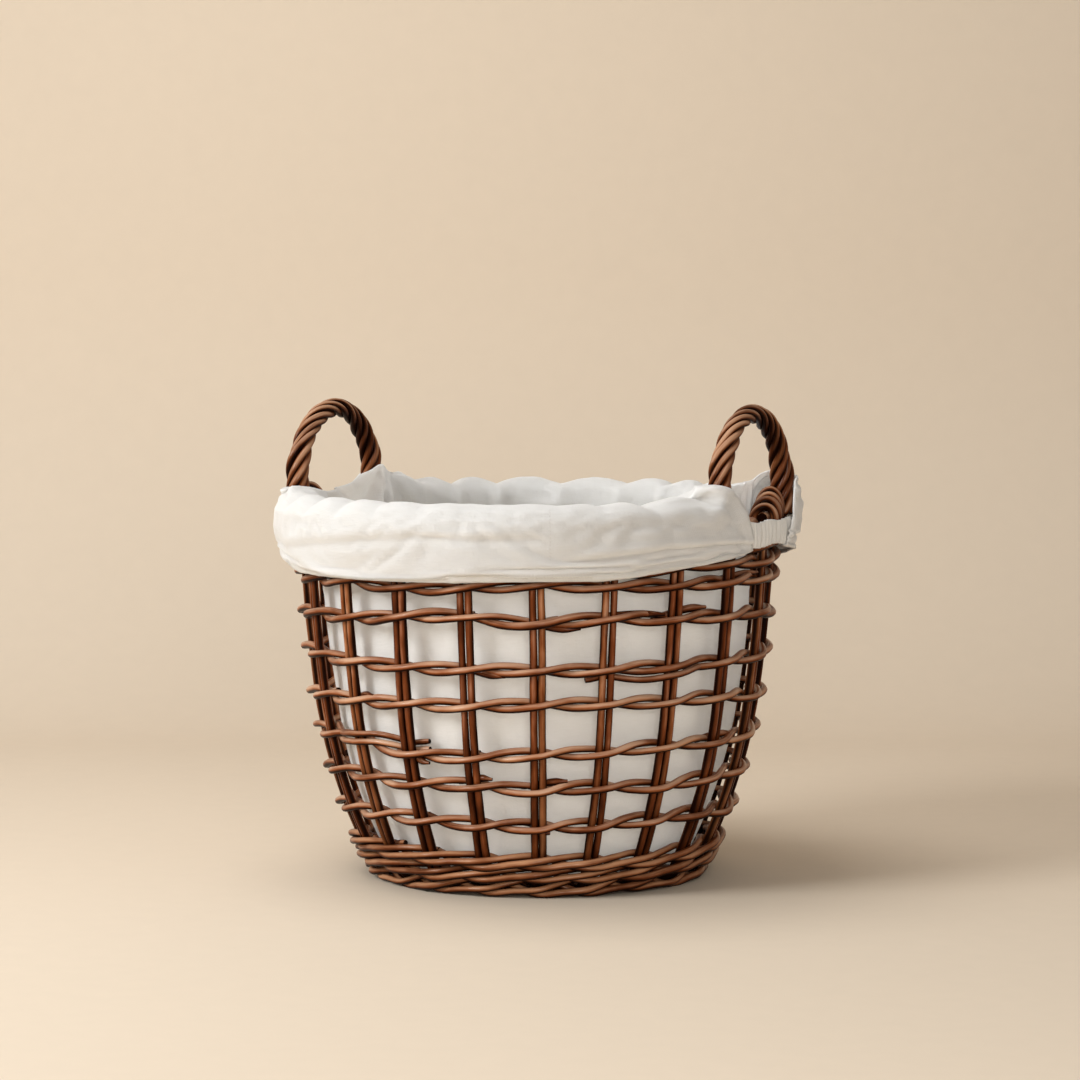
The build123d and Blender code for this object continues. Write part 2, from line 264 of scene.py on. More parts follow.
@dataclass
class Lattice:
    """Where the pairs of stakes stand, and how weavers pass them."""

    wall: WallLine
    pairs: int
    stake_width: float = 0.0074
    stake_gap: float = 0.0004
    weave_gap: float = 0.0002
    drift: float = math.radians(1.4)
    slant: float = math.radians(0.7)
    front: float = math.radians(297)
    points_per_pair: int = 14
    tail_rise: float = 1.6
    tail_spread: float = 0.3
    seed: int = 11

    def __post_init__(self) -> None:
        """Draw each pair's own slant."""
        rng = np.random.default_rng(self.seed)
        self.slants = wander(rng, self.pairs, self.slant)

    @property
    def step(self) -> float:
        """Angle from one pair to the next."""
        return TURN / self.pairs

    def angle(self, u: Array, s: Array | float) -> Array:
        """Angle round the basket.

        Args:
            u: Count of pairs from the first one.
            s: Length up the wall.

        Returns:
            The angle, with the pairs' drift towards the front and their slant.
        """
        even = (u + 0.5) * self.step
        down = 1 - np.asarray(s, float) / self.wall.length
        lean = spline_round(self.slants, np.asarray(u, float)) * (2 * down - 0.5)
        return even - self.drift * np.sin(2 * (even - self.front)) + lean

    def swing(self, radius: float, width: float) -> float:
        """How far a weaver of some width swings in and out to clear a pair at some radius.

        Args:
            radius: Radius of the wall there.
            width: Diameter of the weaver.

        Returns:
            The distance.
        """
        half_step = radius * self.step / 2
        clear = (self.stake_width + width) / 2 + self.weave_gap
        share = (self.stake_width + self.stake_gap) / 2 / half_step
        slope = clear * (4 * share - 3 * share ** 2) / half_step
        return clear * math.hypot(1, slope) / (1 - 2 * share ** 2 + share ** 3)

    def place(self, u: Array, s: Array, out: Array, up: Array) -> Array:
        """Points beside the wall line.

        Args:
            u: Count of pairs from the first one.
            s: Length up the wall.
            out: Distance out of the stake line.
            up: Distance up along it.

        Returns:
            Points in the frame.
        """
        radius, height, lean = self.wall.at(s)
        r = radius + out * np.cos(lean) + up * np.sin(lean)
        z = height - out * np.sin(lean) + up * np.cos(lean)
        return round_points(r, self.angle(u, s), z)

    def weaver(self, span: tuple[float, float], s: float, cycle: Cycle, shift: int, width: float,
               rise: Array, tails: tuple[float, float] = (0.3, 0.3)) -> Array:
        """Middle line of one weaver of a round.

        Args:
            span: First and last pair that it passes, both from behind.
            s: Length of the round up the wall.
            cycle: Its way in and out.
            shift: Its place in the cycle, in pairs.
            width: Its diameter.
            rise: Knots of the round's wander up and down.
            tails: Lengths of its two ends behind the last pairs, in pairs.

        Returns:
            Points along it.
        """
        way = np.array(cycle.value, float)
        count = int((span[1] - span[0] + sum(tails)) * self.points_per_pair) + 1
        u = np.linspace(span[0] - tails[0], span[1] + tails[1], count)
        held = np.clip(u, *span)
        radius = float(self.wall.at(s)[0])
        out = spline_round(way[:, 0], 2 * (held - shift)) * self.swing(radius, width)
        up = spline_round(way[:, 1], 2 * (held - shift)) * (width + 2 * self.weave_gap) / 2
        past = u - held
        up = up + past * width * self.tail_rise
        out = out + np.abs(past) * width * self.tail_spread
        lift = spline_round(rise, u * len(rise) / self.pairs)
        return self.place(u, s + lift, out, up)


class Graph:
    """A node tree that is being filled, with short calls to add and join nodes."""

    def __init__(self, tree: Tree) -> None:
        """Keep the tree."""
        self.tree = tree

    def feed(self, node: bpy.types.Node, inputs: dict) -> None:
        """Set a node's inputs to values or join them to sockets.

        Args:
            node: The node.
            inputs: Values or sockets, by the input's name or number.
        """
        for key, value in inputs.items():
            if isinstance(value, Socket):
                self.tree.links.new(value, node.inputs[key])
            else:
                node.inputs[key].default_value = value

    def add(self, kind: str, inputs: dict | None = None, **settings: object) -> bpy.types.Node:
        """Add a node.

        Args:
            kind: Identifier of the node's type.
            inputs: Values or sockets, by the input's name or number.
            settings: Properties of the node.

        Returns:
            The new node.
        """
        node = self.tree.nodes.new(kind)
        for name, value in settings.items():
            setattr(node, name, value)
        self.feed(node, inputs or {})
        return node

    def out(self, kind: str, inputs: dict | None = None, **settings: object) -> Socket:
        """First output of a new node."""
        return self.add(kind, inputs, **settings).outputs[0]

    def math(self, operation: str, first: object, second: object = 0.0) -> Socket:
        """Result of a sum on two values."""
        return self.out("ShaderNodeMath", {0: first, 1: second}, operation=operation)

    def weighed(self, *terms: tuple[object, object]) -> Socket:
        """Sum of values, each times its weight.

        Args:
            terms: Values with their weights.

        Returns:
            The sum.
        """
        parts = [self.math("MULTIPLY", value, weight) for value, weight in terms]
        total = parts[0]
        for part in parts[1:]:
            total = self.math("ADD", total, part)
        return total

    def vector(self, operation: str, first: object, second: object) -> Socket:
        """Result of a sum on two vectors."""
        return self.out("ShaderNodeVectorMath", {0: first, 1: second}, operation=operation)

    def scaled(self, vector: object, scale: object) -> Socket:
        """A vector times a number."""
        return self.out("ShaderNodeVectorMath", {0: vector, "Scale": scale}, operation="SCALE")

    def combine(self, x: object, y: object, z: object = 0.0) -> Socket:
        """Vector of three values."""
        return self.out("ShaderNodeCombineXYZ", {0: x, 1: y, 2: z})

    def noise(self, at: Socket, scale: float, detail: float = 2.0) -> Socket:
        """Value of a noise at a place."""
        return self.out("ShaderNodeTexNoise", {"Vector": at, "Scale": scale, "Detail": detail})

    def mix(self, share: object, first: object, second: object) -> Socket:
        """Mix of two colours."""
        return self.add("ShaderNodeMix", {0: share, 6: first, 7: second}, data_type="RGBA").outputs[2]

    def ramp(self, value: Socket, low: float, high: float) -> Socket:
        """Share from 0 to 1 of a value between two limits."""
        return self.out("ShaderNodeMapRange", {0: value, 1: low, 2: high})

    def ease(self, value: Socket, ends: tuple[float, float],
             results: tuple[float, float]) -> Socket:
        """Smooth change from one result to another while a value goes between two ends."""
        inputs = {0: value, 1: ends[0], 2: ends[1], 3: results[0], 4: results[1]}
        return self.out("ShaderNodeMapRange", inputs, interpolation_type="SMOOTHSTEP")

    def attribute(self, name: str, output: str) -> Socket:
        """An attribute of the piece's mesh."""
        return self.add("ShaderNodeAttribute", attribute_name=name).outputs[output]

    def bump(self, height: Socket, strength: float, depth: float) -> Socket:
        """Normal of a surface with some relief."""
        return self.out("ShaderNodeBump", {"Strength": strength, "Distance": depth, "Height": height})


def new_tree(name: str, kind: str, inputs: dict[str, str], outputs: dict[str, str]) -> Graph:
    """Start a node group.

    Args:
        name: Name of the group.
        kind: Type of the tree.
        inputs: Socket types of its inputs by name.
        outputs: Socket types of its outputs by name.

    Returns:
        A graph that fills it.
    """
    tree = bpy.data.node_groups.new(name, kind)
    for way, sockets in (("INPUT", inputs), ("OUTPUT", outputs)):
        for socket, socket_type in sockets.items():
            tree.interface.new_socket(socket, in_out=way, socket_type=f"NodeSocket{socket_type}")
    return Graph(tree)


def set_inputs(modifier: bpy.types.Modifier, values: dict[str, object]) -> None:
    """Set a Geometry Nodes modifier's named inputs.

    Args:
        modifier: The modifier, with its tree.
        values: Values by the input's name.
    """
    for item in modifier.node_group.interface.items_tree:
        if item.in_out == "INPUT" and item.name in values:
            modifier[item.identifier] = values[item.name]


def link(name: str, mesh: Mesh) -> Piece:
    """New object of a mesh, in the scene."""
    made = bpy.data.objects.new(name, mesh)
    bpy.context.scene.collection.objects.link(made)
    return made


def plain_mesh(source: Piece, name: str) -> Piece:
    """Turn an object with modifiers into a plain mesh object and remove the first.

    Args:
        source: The object with its modifiers.
        name: Name of the plain object.

    Returns:
        The plain object.
    """
    depsgraph = bpy.context.evaluated_depsgraph_get()
    shape = source.evaluated_get(depsgraph)
    mesh = bpy.data.meshes.new_from_object(shape, preserve_all_data_layers=True, depsgraph=depsgraph)
    bpy.data.objects.remove(source)
    return link(name, mesh)


class RodTree:
    """Geometry Nodes tree that gives each line the round, slightly crooked body of a willow rod."""

    sharp_edge = math.radians(60)
    crook_length = 0.07
    swelling_length = 0.05

    def __init__(self) -> None:
        """Build the tree."""
        graph = new_tree("Willow rod", "GeometryNodeTree", {
            "Lines": "Geometry", "Sides": "Int", "Crook": "Float", "Crook Length": "Float",
            "Swelling": "Float", "Swelling Length": "Float", "Finish": "Material",
        }, {"Rods": "Geometry"})
        given = graph.add("NodeGroupInput").outputs
        tone = self.named(graph, "rod_tone")
        width = self.named(graph, "rod_radius")
        along = self.named(graph, "rod_along")
        line = graph.out("GeometryNodeMeshToCurve", {"Mesh": given["Lines"]})
        place = graph.out("GeometryNodeInputPosition")
        seeded = graph.vector("ADD", place, graph.combine(tone, tone, tone))
        crook_at = graph.scaled(seeded, graph.math("DIVIDE", 1.0, given["Crook Length"]))
        uneven = {"Vector": crook_at, "Scale": 1.0, "Detail": 1.0}
        crook = graph.add("ShaderNodeTexNoise", uneven).outputs["Color"]
        push = graph.scaled(graph.vector("SUBTRACT", crook, (0.5, 0.5, 0.5)), given["Crook"])
        line = graph.out("GeometryNodeSetPosition", {"Geometry": line, "Offset": push})
        swell_at = graph.combine(graph.math("DIVIDE", along, given["Swelling Length"]), tone)
        swell = graph.math("SUBTRACT", graph.noise(swell_at, 1.0, 1.0), 0.5)
        grown = graph.math("ADD", graph.math("MULTIPLY", swell, given["Swelling"]), 1.0)
        width = graph.math("MULTIPLY", width, grown)
        ring = graph.out("GeometryNodeCurvePrimitiveCircle", {"Resolution": given["Sides"], "Radius": 1.0})
        ring = self.store(graph, ring, "ring", place, "FLOAT_VECTOR")
        line = self.store(graph, line, "rod_width", width, "FLOAT")
        body = graph.out("GeometryNodeCurveToMesh", {"Curve": line, "Profile Curve": ring, "Scale": width,
                                                     "Fill Caps": True})
        round_way = graph.add("ShaderNodeSeparateXYZ", {0: self.named(graph, "ring", "FLOAT_VECTOR")}).outputs
        wide = self.named(graph, "rod_width")
        grain = graph.combine(along, graph.math("MULTIPLY", round_way[0], wide),
                              graph.math("MULTIPLY", round_way[1], wide))
        body = self.store(graph, body, "grain", grain, "FLOAT_VECTOR")
        bent = graph.add("GeometryNodeInputMeshEdgeAngle").outputs["Unsigned Angle"]
        soft = graph.math("LESS_THAN", bent, self.sharp_edge)
        for smooth, domain in ((True, "FACE"), (soft, "EDGE")):
            shading = {"Geometry": body, "Shade Smooth": smooth}
            body = graph.out("GeometryNodeSetShadeSmooth", shading, domain=domain)
        body = graph.out("GeometryNodeRealizeInstances", {"Geometry": body})
        body = graph.out("GeometryNodeSetMaterial", {"Geometry": body, "Material": given["Finish"]})
        graph.add("NodeGroupOutput", {0: body})
        self.tree = graph.tree

    @staticmethod
    def named(graph: Graph, name: str, kind: str = "FLOAT") -> Socket:
        """Value of a named attribute."""
        return graph.out("GeometryNodeInputNamedAttribute", {"Name": name}, data_type=kind)

    @staticmethod
    def store(graph: Graph, shape: object, name: str, value: object, kind: str) -> Socket:
        """Geometry with a value stored under a name on its points."""
        inputs = {"Geometry": shape, "Name": name, "Value": value}
        return graph.out("GeometryNodeStoreNamedAttribute", inputs, data_type=kind)

    def piece(self, name: str, rods: list[Rod], finish: Material, crook: float = 0.0008,
              swelling: float = 0.16, sides: int = 10) -> Piece:
        """One mesh of several rods.

        Args:
            name: Name of the piece.
            rods: The rods.
            finish: Their material.
            crook: How far a rod strays from its line.
            swelling: Share by which its width changes.
            sides: Count of faces round it.

        Returns:
            The piece.
        """
        source = link(f"{name}_lines", line_mesh(name, rods))
        modifier = source.modifiers.new("Willow rod", "NODES")
        modifier.node_group = self.tree
        set_inputs(modifier, {
            "Sides": sides, "Finish": finish,
            "Crook": 2 * crook, "Crook Length": self.crook_length,
            "Swelling": 2 * swelling, "Swelling Length": self.swelling_length,
        })
        return plain_mesh(source, name)


def chain_mesh(name: str, lines: list[Array]) -> Mesh:
    """Mesh of the vertices and edges of open lines.

    Args:
        name: Name of the mesh.
        lines: Points of each line.

    Returns:
        The mesh.
    """
    starts = np.cumsum([0] + [len(line) for line in lines])
    edges = [(i, i + 1) for a, b in zip(starts, starts[1:]) for i in range(a, b - 1)]
    mesh = bpy.data.meshes.new(name)
    mesh.from_pydata(np.concatenate(lines).tolist(), edges, [])
    return mesh


def vertex_values(mesh: Mesh, name: str = "co") -> Array:
    """Places or normals of a mesh's vertices, one row each."""
    values = np.empty(3 * len(mesh.vertices), np.float32)
    mesh.vertices.foreach_get(name, values)
    return values.reshape(-1, 3)


def thickened(name: str, mesh: Mesh, thickness: float) -> Piece:
    """Piece of a sheet's mesh, with half its thickness on each side.

    Args:
        name: Name of the piece.
        mesh: Middle of the sheet.
        thickness: Its thickness.

    Returns:
        The piece.
    """
    source = link(f"{name}_sheet", mesh)
    solid = source.modifiers.new("Solidify", "SOLIDIFY")
    solid.thickness = thickness
    solid.offset = 0.0
    return plain_mesh(source, name)


def line_mesh(name: str, rods: list[Rod]) -> Mesh:
    """Mesh of the rods' middle lines, with what the rod tree reads.

    Args:
        name: Name of the mesh.
        rods: The rods.

    Returns:
        A mesh of vertices and edges.
    """
    grain_shift = 7
    mesh = chain_mesh(f"{name}_lines", [rod.points for rod in rods])
    values = {
        "rod_radius": np.concatenate([rod.radius for rod in rods]),
        "rod_tone": np.concatenate([np.full(len(rod.points), rod.tone) for rod in rods]),
        "rod_along": np.concatenate([lengths_along(rod.points) + rod.tone * grain_shift for rod in rods]),
    }
    for key, value in values.items():
        mesh.attributes.new(key, "FLOAT", "POINT").data.foreach_set("value", value.astype(np.float32))
    # Side that sets each rod's painted highlight and painted shade in the willow material.
    outward = np.concatenate([rod.painted_light_side() for rod in rods]).astype(np.float32)
    mesh.attributes.new("rod_painted_light_side", "FLOAT_VECTOR", "POINT").data.foreach_set("vector", outward.ravel())
    return mesh


def willow_grain_group() -> Tree:
    """Shader group of stained and lacquered willow: streaks, patches, leaf scars, and painted shade and
    highlight.

    Painted shade darkens the rods' lower faces and the faces turned across the given side, and a painted
    highlight lightens the faces turned along it and upwards.

    Returns:
        The group.
    """
    graph = new_tree("Willow grain", "ShaderNodeTree", {
        "Tone": "Float", "Grain": "Vector", "Painted Light Side": "Vector", "Facing": "Vector", "Painted Light Up Share": "Float",
        "Painted Shade": "Color", "Dark": "Color", "Middle": "Color", "Light": "Color", "Painted Highlight": "Color",
    }, {"Color": "Color", "Roughness": "Float", "Height": "Float", "Gloss": "Float"})
    given = graph.add("NodeGroupInput").outputs
    streak_scale, patch_scale, scar_scale = (22, 620, 620), (26, 90, 90), (13, 70, 70)
    streak = graph.noise(graph.vector("MULTIPLY", given["Grain"], streak_scale), 1.0, 4.0)
    patch = graph.noise(graph.vector("MULTIPLY", given["Grain"], patch_scale), 1.0, 3.0)
    scar_at = graph.vector("MULTIPLY", given["Grain"], scar_scale)
    scar = graph.out("ShaderNodeTexVoronoi", {"Vector": scar_at, "Scale": 1.0})
    scar_mask = graph.math("SUBTRACT", 1.0, graph.ramp(scar, 0.05, 0.16))
    shade = graph.weighed((given["Tone"], 0.42), (graph.ramp(streak, 0.3, 0.7), 0.30),
                          (graph.ramp(patch, 0.3, 0.7), 0.28))
    low = graph.mix(graph.ramp(shade, 0.0, 0.5), given["Dark"], given["Middle"])
    colour = graph.mix(graph.ramp(shade, 0.5, 1.0), low, given["Light"])
    colour = graph.mix(graph.math("MULTIPLY", scar_mask, 0.75), colour, given["Dark"])
    # How far each face turns along the given side and upwards: the mask of the painted shade and the painted
    # highlight.
    both = {0: given["Facing"], 1: given["Painted Light Side"]}
    turned = graph.add("ShaderNodeVectorMath", both, operation="DOT_PRODUCT")
    out = graph.math("ABSOLUTE", turned.outputs["Value"])
    up = graph.add("ShaderNodeSeparateXYZ", {0: given["Facing"]}).outputs[2]
    face = graph.weighed((out, 0.62), (up, given["Painted Light Up Share"]), (graph.math("SUBTRACT", patch, 0.5), 0.5))
    # Painted shade: faces turned across the given side or downwards take the near-black shade colour.
    clear = graph.ease(face, (0.12, 0.70), (0.02, 1.0))
    colour = graph.mix(clear, given["Painted Shade"], colour)
    # Painted highlight on the faces turned most along the given side and upwards.
    painted_highlight = graph.ease(face, (0.50, 0.88), (0.0, 0.8))
    colour = graph.mix(graph.math("MULTIPLY", painted_highlight, graph.ramp(shade, 0.1, 0.6)), colour, given["Painted Highlight"])
    rough = graph.math("ADD", graph.math("MULTIPLY", streak, 0.22), 0.24)
    height = graph.weighed((streak, 0.6), (scar_mask, -0.5))
    # The coat follows the same mask as the painted shade.
    gloss = graph.math("MULTIPLY", clear, graph.ramp(patch, 0.15, 0.6))
    graph.add("NodeGroupOutput", {0: colour, 1: rough, 2: height, 3: gloss})
    return graph.tree


def cotton_weave_group() -> Tree:
    """Shader group of plain cotton cloth: threads both ways, slubs and a faint unevenness of colour.

    Returns:
        The group.
    """
    graph = new_tree("Cotton weave", "ShaderNodeTree", {"Cloth": "Vector", "Pale": "Color", "Warm": "Color"},
                     {"Color": "Color", "Height": "Float"})
    given = graph.add("NodeGroupInput").outputs
    thread = {"Vector": given["Cloth"], "Scale": 240.0, "Distortion": 0.6, "Detail": 1.0}
    warp, weft = (graph.add("ShaderNodeTexWave", thread, bands_direction=way).outputs["Fac"] for way in "XY")
    slub_x, slub_y = (graph.noise(graph.vector("MULTIPLY", given["Cloth"], scale), 1.0, 2.0)
                      for scale in ((90, 640, 1), (640, 90, 1)))
    cloud = graph.noise(given["Cloth"], 9.0, 3.0)
    height = graph.weighed((graph.math("ADD", warp, weft), 0.25), (graph.math("ADD", slub_x, slub_y), 0.8))
    tint = graph.weighed((cloud, 0.7), (slub_x, 0.3))
    colour = graph.mix(graph.ramp(tint, 0.35, 0.7), given["Pale"], given["Warm"])
    graph.add("NodeGroupOutput", {0: colour, 1: height})
    return graph.tree


def new_material(name: str) -> tuple[Material, Graph, bpy.types.Node]:
    """New material, its graph and its shader."""
    material = bpy.data.materials.new(name)
    material.use_nodes = True
    return material, Graph(material.node_tree), material.node_tree.nodes["Principled BSDF"]


@dataclass(frozen=True)
class WillowFinish:
    """Stained and lacquered willow, with painted shade and a painted highlight."""

    name: str
    dark: Colour
    middle: Colour
    light: Colour
    # Colour of the painted highlight.
    painted_highlight: Colour = (0.64, 0.41, 0.275)
    # Colour of the painted shade.
    painted_shade: Colour = (0.008, 0.0018, 0.0006)
    coat: float = 0.28
    coat_roughness: float = 0.13
    specular: float = 0.03
    # How much facing upwards adds to the painted highlight and facing downwards adds to the painted shade.
    painted_light_up_share: float = 0.52
    bump: float = 0.35
    bump_depth: float = 0.0004

    def build(self, group: Tree) -> Material:
        """Material of this finish, from the shared grain group.

        Args:
            group: The grain group.

        Returns:
            The material.
        """
        material, graph, shader = new_material(self.name)
        # The first and last colours here are the painted shade and the painted highlight; the others are the
        # stain's own colours.
        colours = {"Painted Shade": self.painted_shade, "Dark": self.dark, "Middle": self.middle, "Light": self.light,
                   "Painted Highlight": self.painted_highlight}
        look = graph.add("ShaderNodeGroup", {
            "Tone": graph.attribute("rod_tone", "Fac"),
            "Grain": graph.attribute("grain", "Vector"),
            "Painted Light Side": graph.attribute("rod_painted_light_side", "Vector"),
            "Facing": graph.add("ShaderNodeTexCoord").outputs["Normal"],
            "Painted Light Up Share": self.painted_light_up_share,
            **{name: (*colour, 1) for name, colour in colours.items()},
        }, node_tree=group).outputs
        graph.feed(shader, {
            "Base Color": look["Color"],
            "Roughness": look["Roughness"],
            "Normal": graph.bump(look["Height"], self.bump, self.bump_depth),
            "Coat Weight": graph.math("MULTIPLY", look["Gloss"], self.coat),
            "Coat Roughness": self.coat_roughness,
            "Specular IOR Level": self.specular,
        })
        return material


@dataclass(frozen=True)
class CottonFinish:
    """Plain woven cotton, matt with a soft nap."""

    name: str
    pale: Colour
    warm: Colour
    bump: float = 0.5
    bump_depth: float = 0.0005
    roughness: float = 0.92
    sheen: float = 0.25
    specular: float = 0.2
    glow: float = 0.8
    glow_depth: float = 0.010

    def build(self, group: Tree) -> Material:
        """Material of this finish, from the shared weave group.

        Args:
            group: The weave group.

        Returns:
            The material.
        """
        material, graph, shader = new_material(self.name)
        look = graph.add("ShaderNodeGroup", {
            "Cloth": graph.out("ShaderNodeUVMap", uv_map="cloth"),
            "Pale": (*self.pale, 1),
            "Warm": (*self.warm, 1),
        }, node_tree=group).outputs
        graph.feed(shader, {
            "Base Color": look["Color"],
            "Normal": graph.bump(look["Height"], self.bump, self.bump_depth),
            "Roughness": self.roughness,
            "Sheen Weight": self.sheen,
            "Subsurface Weight": self.glow,
            "Subsurface Radius": (1.0, 1.0, 1.0),
            "Subsurface Scale": self.glow_depth,
            "Specular IOR Level": self.specular,
        })
        return material


@dataclass(frozen=True)
class StageFinish:
    """Matt paper of the floor and backdrop, which isn't seen from behind."""

    name: str = "backdrop_paper"
    colour: Colour = (0.78, 0.665, 0.53)
    fleck_shade: float = 0.985
    fleck_scale: float = 40.0
    roughness: float = 0.95
    specular: float = 0.1

    def build(self) -> Material:
        """Material of the backdrop.

        Returns:
            The material.
        """
        material, graph, shader = new_material(self.name)
        fleck = graph.noise(graph.add("ShaderNodeTexCoord").outputs["Object"], self.fleck_scale, 4.0)
        shaded = tuple(part * self.fleck_shade for part in self.colour)
        tint = graph.mix(graph.ramp(fleck, 0.3, 0.7), (*shaded, 1), (*self.colour, 1))
        graph.feed(shader, {
            "Base Color": tint,
            "Roughness": self.roughness,
            "Specular IOR Level": self.specular,
        })
        behind = graph.add("ShaderNodeNewGeometry").outputs["Backfacing"]
        clear = graph.out("ShaderNodeBsdfTransparent")
        both = graph.out("ShaderNodeMixShader", {0: behind, 1: shader.outputs[0], 2: clear})
        graph.feed(material.node_tree.nodes["Material Output"], {"Surface": both})
        return material


def settle_piece(piece: Piece, body: Body, slot: Slot, *nodes: str) -> None:
    """Let a piece ride on its body and stand for its nodes.

    Args:
        piece: The finished piece.
        body: Body that it moves with.
        slot: Record's material slot; not used.
        nodes: Nodes of the frame that it stands for.
    """
    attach(piece, body.value)
    if nodes:
        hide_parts(*nodes)
    log.info("%s: %d faces on %s", piece.name, len(piece.data.polygons), body.value)


def stand_on_floor(piece: Piece) -> None:
    """Wear a piece flat where it would reach below the floor.

    Args:
        piece: The piece.
    """
    places = vertex_values(piece.data)
    places[:, 2] = np.maximum(places[:, 2], 0.0)
    piece.data.vertices.foreach_set("co", places.ravel())
    piece.data.update()


@dataclass
class Basketwork:
    """Stakes, twined rows, wales and border of the basket, and the dressing of its base."""

    lattice: Lattice
    tree: RodTree
    finishes: dict[Slot, Material]
    wale_finish: Material
    weaver_width: float = 0.0072
    border_width: float = 0.0094
    foot: float = 0.030
    rounds_gap: float = 0.0004
    wale_lean: float = math.radians(55)
    wale_rounds: int = 3
    open_rows: int = 6
    close_rows: int = 3
    stake_tip: float = 0.007
    front_rises: tuple[float, ...] = (0.0, 0.001, -0.005, 0.002, -0.001, 0.008, 0.0, 0.0, 0.0)
    cut_ends: tuple[tuple[int, float, float], ...] = (
        (5, 16.60, -0.0075), (5, 17.82, 0.0040), (5, 18.52, 0.0095), (1, 16.46, 0.0085), (2, 14.34, -0.0070),
        (1, 15.30, 0.0080), (0, 16.20, -0.0060), (3, 13.45, 0.0060), (6, 19.75, 0.0060), (4, 15.55, -0.0060),
        (2, 19.40, 0.0060), (4, 3.40, 0.0070), (1, 6.50, -0.0060), (5, 9.45, 0.0070), (3, 1.55, -0.0065),
    )
    doubled: tuple[tuple[int, int, float], ...] = (
        (4, 17, -0.0078), (2, 12, 0.0076), (3, 5, -0.0076), (5, 8, 0.0076),
    )
    doubled_radii: tuple[float, float] = (0.0034, 0.0029)
    tails: tuple[float, ...] = (0.08, 0.11, 0.30)
    weaver_spread: tuple[float, float] = (0.90, 1.08)
    weaver_taper: tuple[float, float] = (1.04, 0.94)
    stake_spread: tuple[float, float] = (0.98, 1.07)
    stake_taper: float = 0.93
    cut_behind: float = 0.28
    cut_radius: float = 0.0031
    cut_swell: float = 0.0006
    cut_point: float = 0.0021
    round_parts: int = 2
    row_stagger: int = 7
    wale_stagger: int = 6
    border_start: int = 3
    row_wander: float = 0.0021
    wale_wander: float = 0.0014
    border_wander: float = 0.0004
    stake_wander: float = 0.0003
    stiff_crook: float = 0.0005
    wale_crook: float = 0.0010
    base_crook: float = 0.0003
    seed: int = 5

    def __post_init__(self) -> None:
        """Start the seeded draws."""
        self.rng = np.random.default_rng(self.seed)

    @property
    def round_pitch(self) -> float:
        """Length up the wall from one close round to the next."""
        return 2 * (self.weaver_width + self.rounds_gap)

    def wale_lengths(self) -> list[float]:
        """Lengths up the wall of the rounds of wale."""
        wall = self.lattice.wall
        start = -wall.heel_bend * (self.wale_lean - wall.heel_lean)
        return [start + k * self.round_pitch for k in range(self.wale_rounds)]

    @property
    def border_length(self) -> float:
        """Length up the wall of the border."""
        return self.lattice.wall.length - self.stake_tip

    def row_lengths(self) -> list[float]:
        """Lengths up the wall of the twined rows, lowest first.

        Returns:
            A length for each row.
        """
        top = self.border_length - self.border_width - self.weaver_width - 2 * self.rounds_gap
        close = [top - k * self.round_pitch for k in range(self.close_rows)][::-1]
        low = self.wale_lengths()[-1]
        pitch = (close[0] - low) / (self.open_rows + 1)
        return [low + (k + 1) * pitch for k in range(self.open_rows)] + close

    def stakes(self) -> None:
        """Twenty pairs of upright stakes, each bent in at its foot."""
        lattice, wall = self.lattice, self.lattice.wall
        bend = wall.heel_bend * (math.pi / 2 - wall.heel_lean)
        feet = np.linspace(-bend - self.foot, -bend, 7)[:-1]
        turn = np.linspace(-bend, 0, 9)[:-1]
        side = np.linspace(0, wall.length, 72)
        s = np.concatenate((feet, turn, side))
        for index in range(lattice.pairs):
            rods = []
            for beside in (-1, 1):
                radius, height, _ = wall.at(np.maximum(s, -bend))
                radius = radius - np.maximum(-bend - s, 0)
                angle = lattice.angle(np.full(len(s), float(index)), np.maximum(s, 0))
                width = lattice.stake_width * self.rng.uniform(*self.stake_spread)
                spread = spline_round(wander(self.rng, 8, self.stake_wander), np.linspace(0, 7, len(s)))
                shift = beside * (lattice.stake_width + lattice.stake_gap) / 2 + spread
                points = np.stack((radius * np.cos(angle) - shift * np.sin(angle),
                                   radius * np.sin(angle) + shift * np.cos(angle), height), 1)
                thick = tapered(len(s), width / 2, width / 2 * self.stake_taper)
                rods.append(Rod(points, thick, self.rng.random()))
            name = f"stake_pair_{index + 1:02d}"
            piece = self.tree.piece(f"willow_{name}", rods, self.finishes[Slot.STAKE], crook=self.stiff_crook)
            settle_piece(piece, Body.BASKET, Slot.STAKE, name)

    def rise(self, front: float, size: float) -> Array:
        """Knots of a round's wander up and down, with its height at the front."""
        knots = wander(self.rng, self.lattice.pairs, size)
        angle = (np.arange(self.lattice.pairs) + 0.5) * self.lattice.step
        return knots + front * np.maximum(np.cos(angle - self.lattice.front), 0)

    def round_rods(self, s: float, cycle: Cycle, width: float, rise: Array, first: int) -> list[Rod]:
        """Rods of one round, each cut where it passes behind a pair.

        Args:
            s: Length of the round up the wall.
            cycle: The rods' way in and out.
            width: Their diameter.
            rise: Knots of the round's wander.
            first: Pair at which the first rod starts.

        Returns:
            The rods.
        """
        period = len(cycle.value) // 2
        rods = []
        for way in range(period):
            start = first + way
            turns = (self.lattice.pairs + (way - self.lattice.pairs) % period - way) // period
            cuts = self.rng.choice(np.arange(1, turns), self.round_parts - 1, replace=False)
            stops = [0, *sorted(cuts), turns]
            for a, b in zip(stops, stops[1:]):
                own = width * self.rng.uniform(*self.weaver_spread)
                tails = tuple(self.rng.choice(self.tails, 2))
                span = (start + a * period, start + b * period)
                points = self.lattice.weaver(span, s, cycle, start, own, rise, tails)
                butt, tip = (own / 2 * share for share in self.weaver_taper)
                if self.rng.random() < 0.5:
                    butt, tip = tip, butt
                rods.append(Rod(points, tapered(len(points), butt, tip), self.rng.random()))
        return rods

